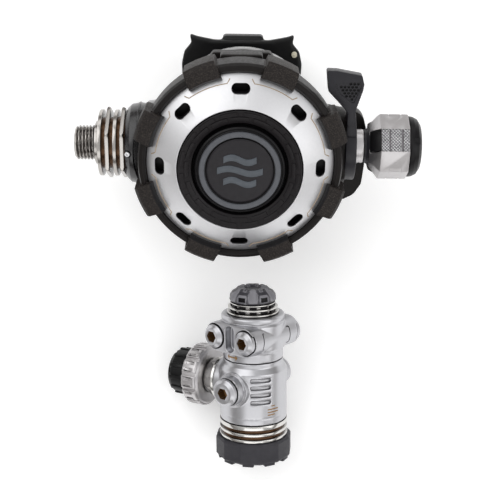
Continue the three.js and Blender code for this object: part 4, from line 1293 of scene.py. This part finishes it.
def make_camera():
    """Looks down on the set from above the second stage, tilted a little towards its top."""
    camera = bpy.data.cameras.new("camera")
    camera.sensor_width = 36
    camera.lens = CAMERA_LENS
    viewer = bpy.data.objects.new("camera", camera)
    origin = SECOND.matrix.translation
    viewer.location = (origin.x, origin.y - CAMERA_BACK, CAMERA_HEIGHT)
    viewer.rotation_euler = (CAMERA_TILT, 0, 0)
    bpy.context.scene.collection.objects.link(viewer)
    bpy.context.scene.camera = viewer


def make_floor():
    bm = bmesh.new()
    bmesh.ops.create_grid(bm, x_segments=8, y_segments=8, size=3)
    ground = solid(bm)
    ground.name = "floor"
    pale = Look("floor_pale", (0.95, 0.95, 0.95), 0.8).vary_color((0.95, 0.95, 0.95), 40, 0.995, 1.0)
    pale.shader.inputs["Specular IOR Level"].default_value = 0.1
    pale.shader.inputs["Emission Color"].default_value = (1, 1, 1, 1)
    pale.shader.inputs["Emission Strength"].default_value = 0.22
    ground.data.materials.append(pale.material)
    ground.location = (0, 0, -0.0004)


def area_light(name, location, target, size, power, color=(1, 1, 1)):
    light = bpy.data.lights.new(name, "AREA")
    light.shape = "RECTANGLE"
    light.size, light.size_y = size
    light.energy = power
    light.color = color
    lamp = bpy.data.objects.new(name, light)
    lamp.location = location
    lamp.rotation_euler = (Vector(target) - Vector(location)).to_track_quat("-Z", "Y").to_euler()
    bpy.context.scene.collection.objects.link(lamp)


def make_lights():
    area_light("key", (-0.45, 0.25, 0.75), (0, 0, 0.04), (0.8, 0.8), 2.6)
    area_light("fill", (0.65, -0.25, 0.6), (0, 0, 0.04), (0.5, 0.9), 1.8)
    area_light("top", (0.05, 0.6, 0.4), (0, 0.02, 0.05), (0.9, 0.25), 0.8)
    area_light("front", (0.0, -0.7, 0.5), (0, -0.05, 0.03), (0.9, 0.4), 1.3)
    world = bpy.data.worlds.new("studio")
    world.use_nodes = True
    nodes, links = world.node_tree.nodes, world.node_tree.links
    place = nodes.new("ShaderNodeTexCoord")
    split = nodes.new("ShaderNodeSeparateXYZ")
    ramp = nodes.new("ShaderNodeValToRGB")
    ramp.color_ramp.elements[0].position = 0.02
    ramp.color_ramp.elements[0].color = (0.22, 0.20, 0.185, 1)
    ramp.color_ramp.elements[1].position = 0.75
    ramp.color_ramp.elements[1].color = (1, 1, 1, 1)
    links.new(place.outputs["Generated"], split.inputs[0])
    links.new(split.outputs["Z"], ramp.inputs["Fac"])
    links.new(ramp.outputs["Color"], nodes["Background"].inputs["Color"])
    nodes["Background"].inputs["Strength"].default_value = 0.75
    bpy.context.scene.world = world
    bpy.context.scene.view_settings.view_transform = "Standard"


make_camera()
make_floor()
make_lights()
dress_inner_nodes()
for make in (
        make_faceplate, make_plate_lines, make_bumper, make_cover, make_button, make_emblem,
        make_case, make_mouthpiece, make_exhaust, make_inlet, make_fins, make_sleeve,
        make_knob, make_knurl, make_knob_ends, make_lever,
        make_body, make_clamp_ring, make_base_cap, make_plugs, make_turret, make_turret_bolt,
        make_top_knob, make_connection, make_etchings):
    make()
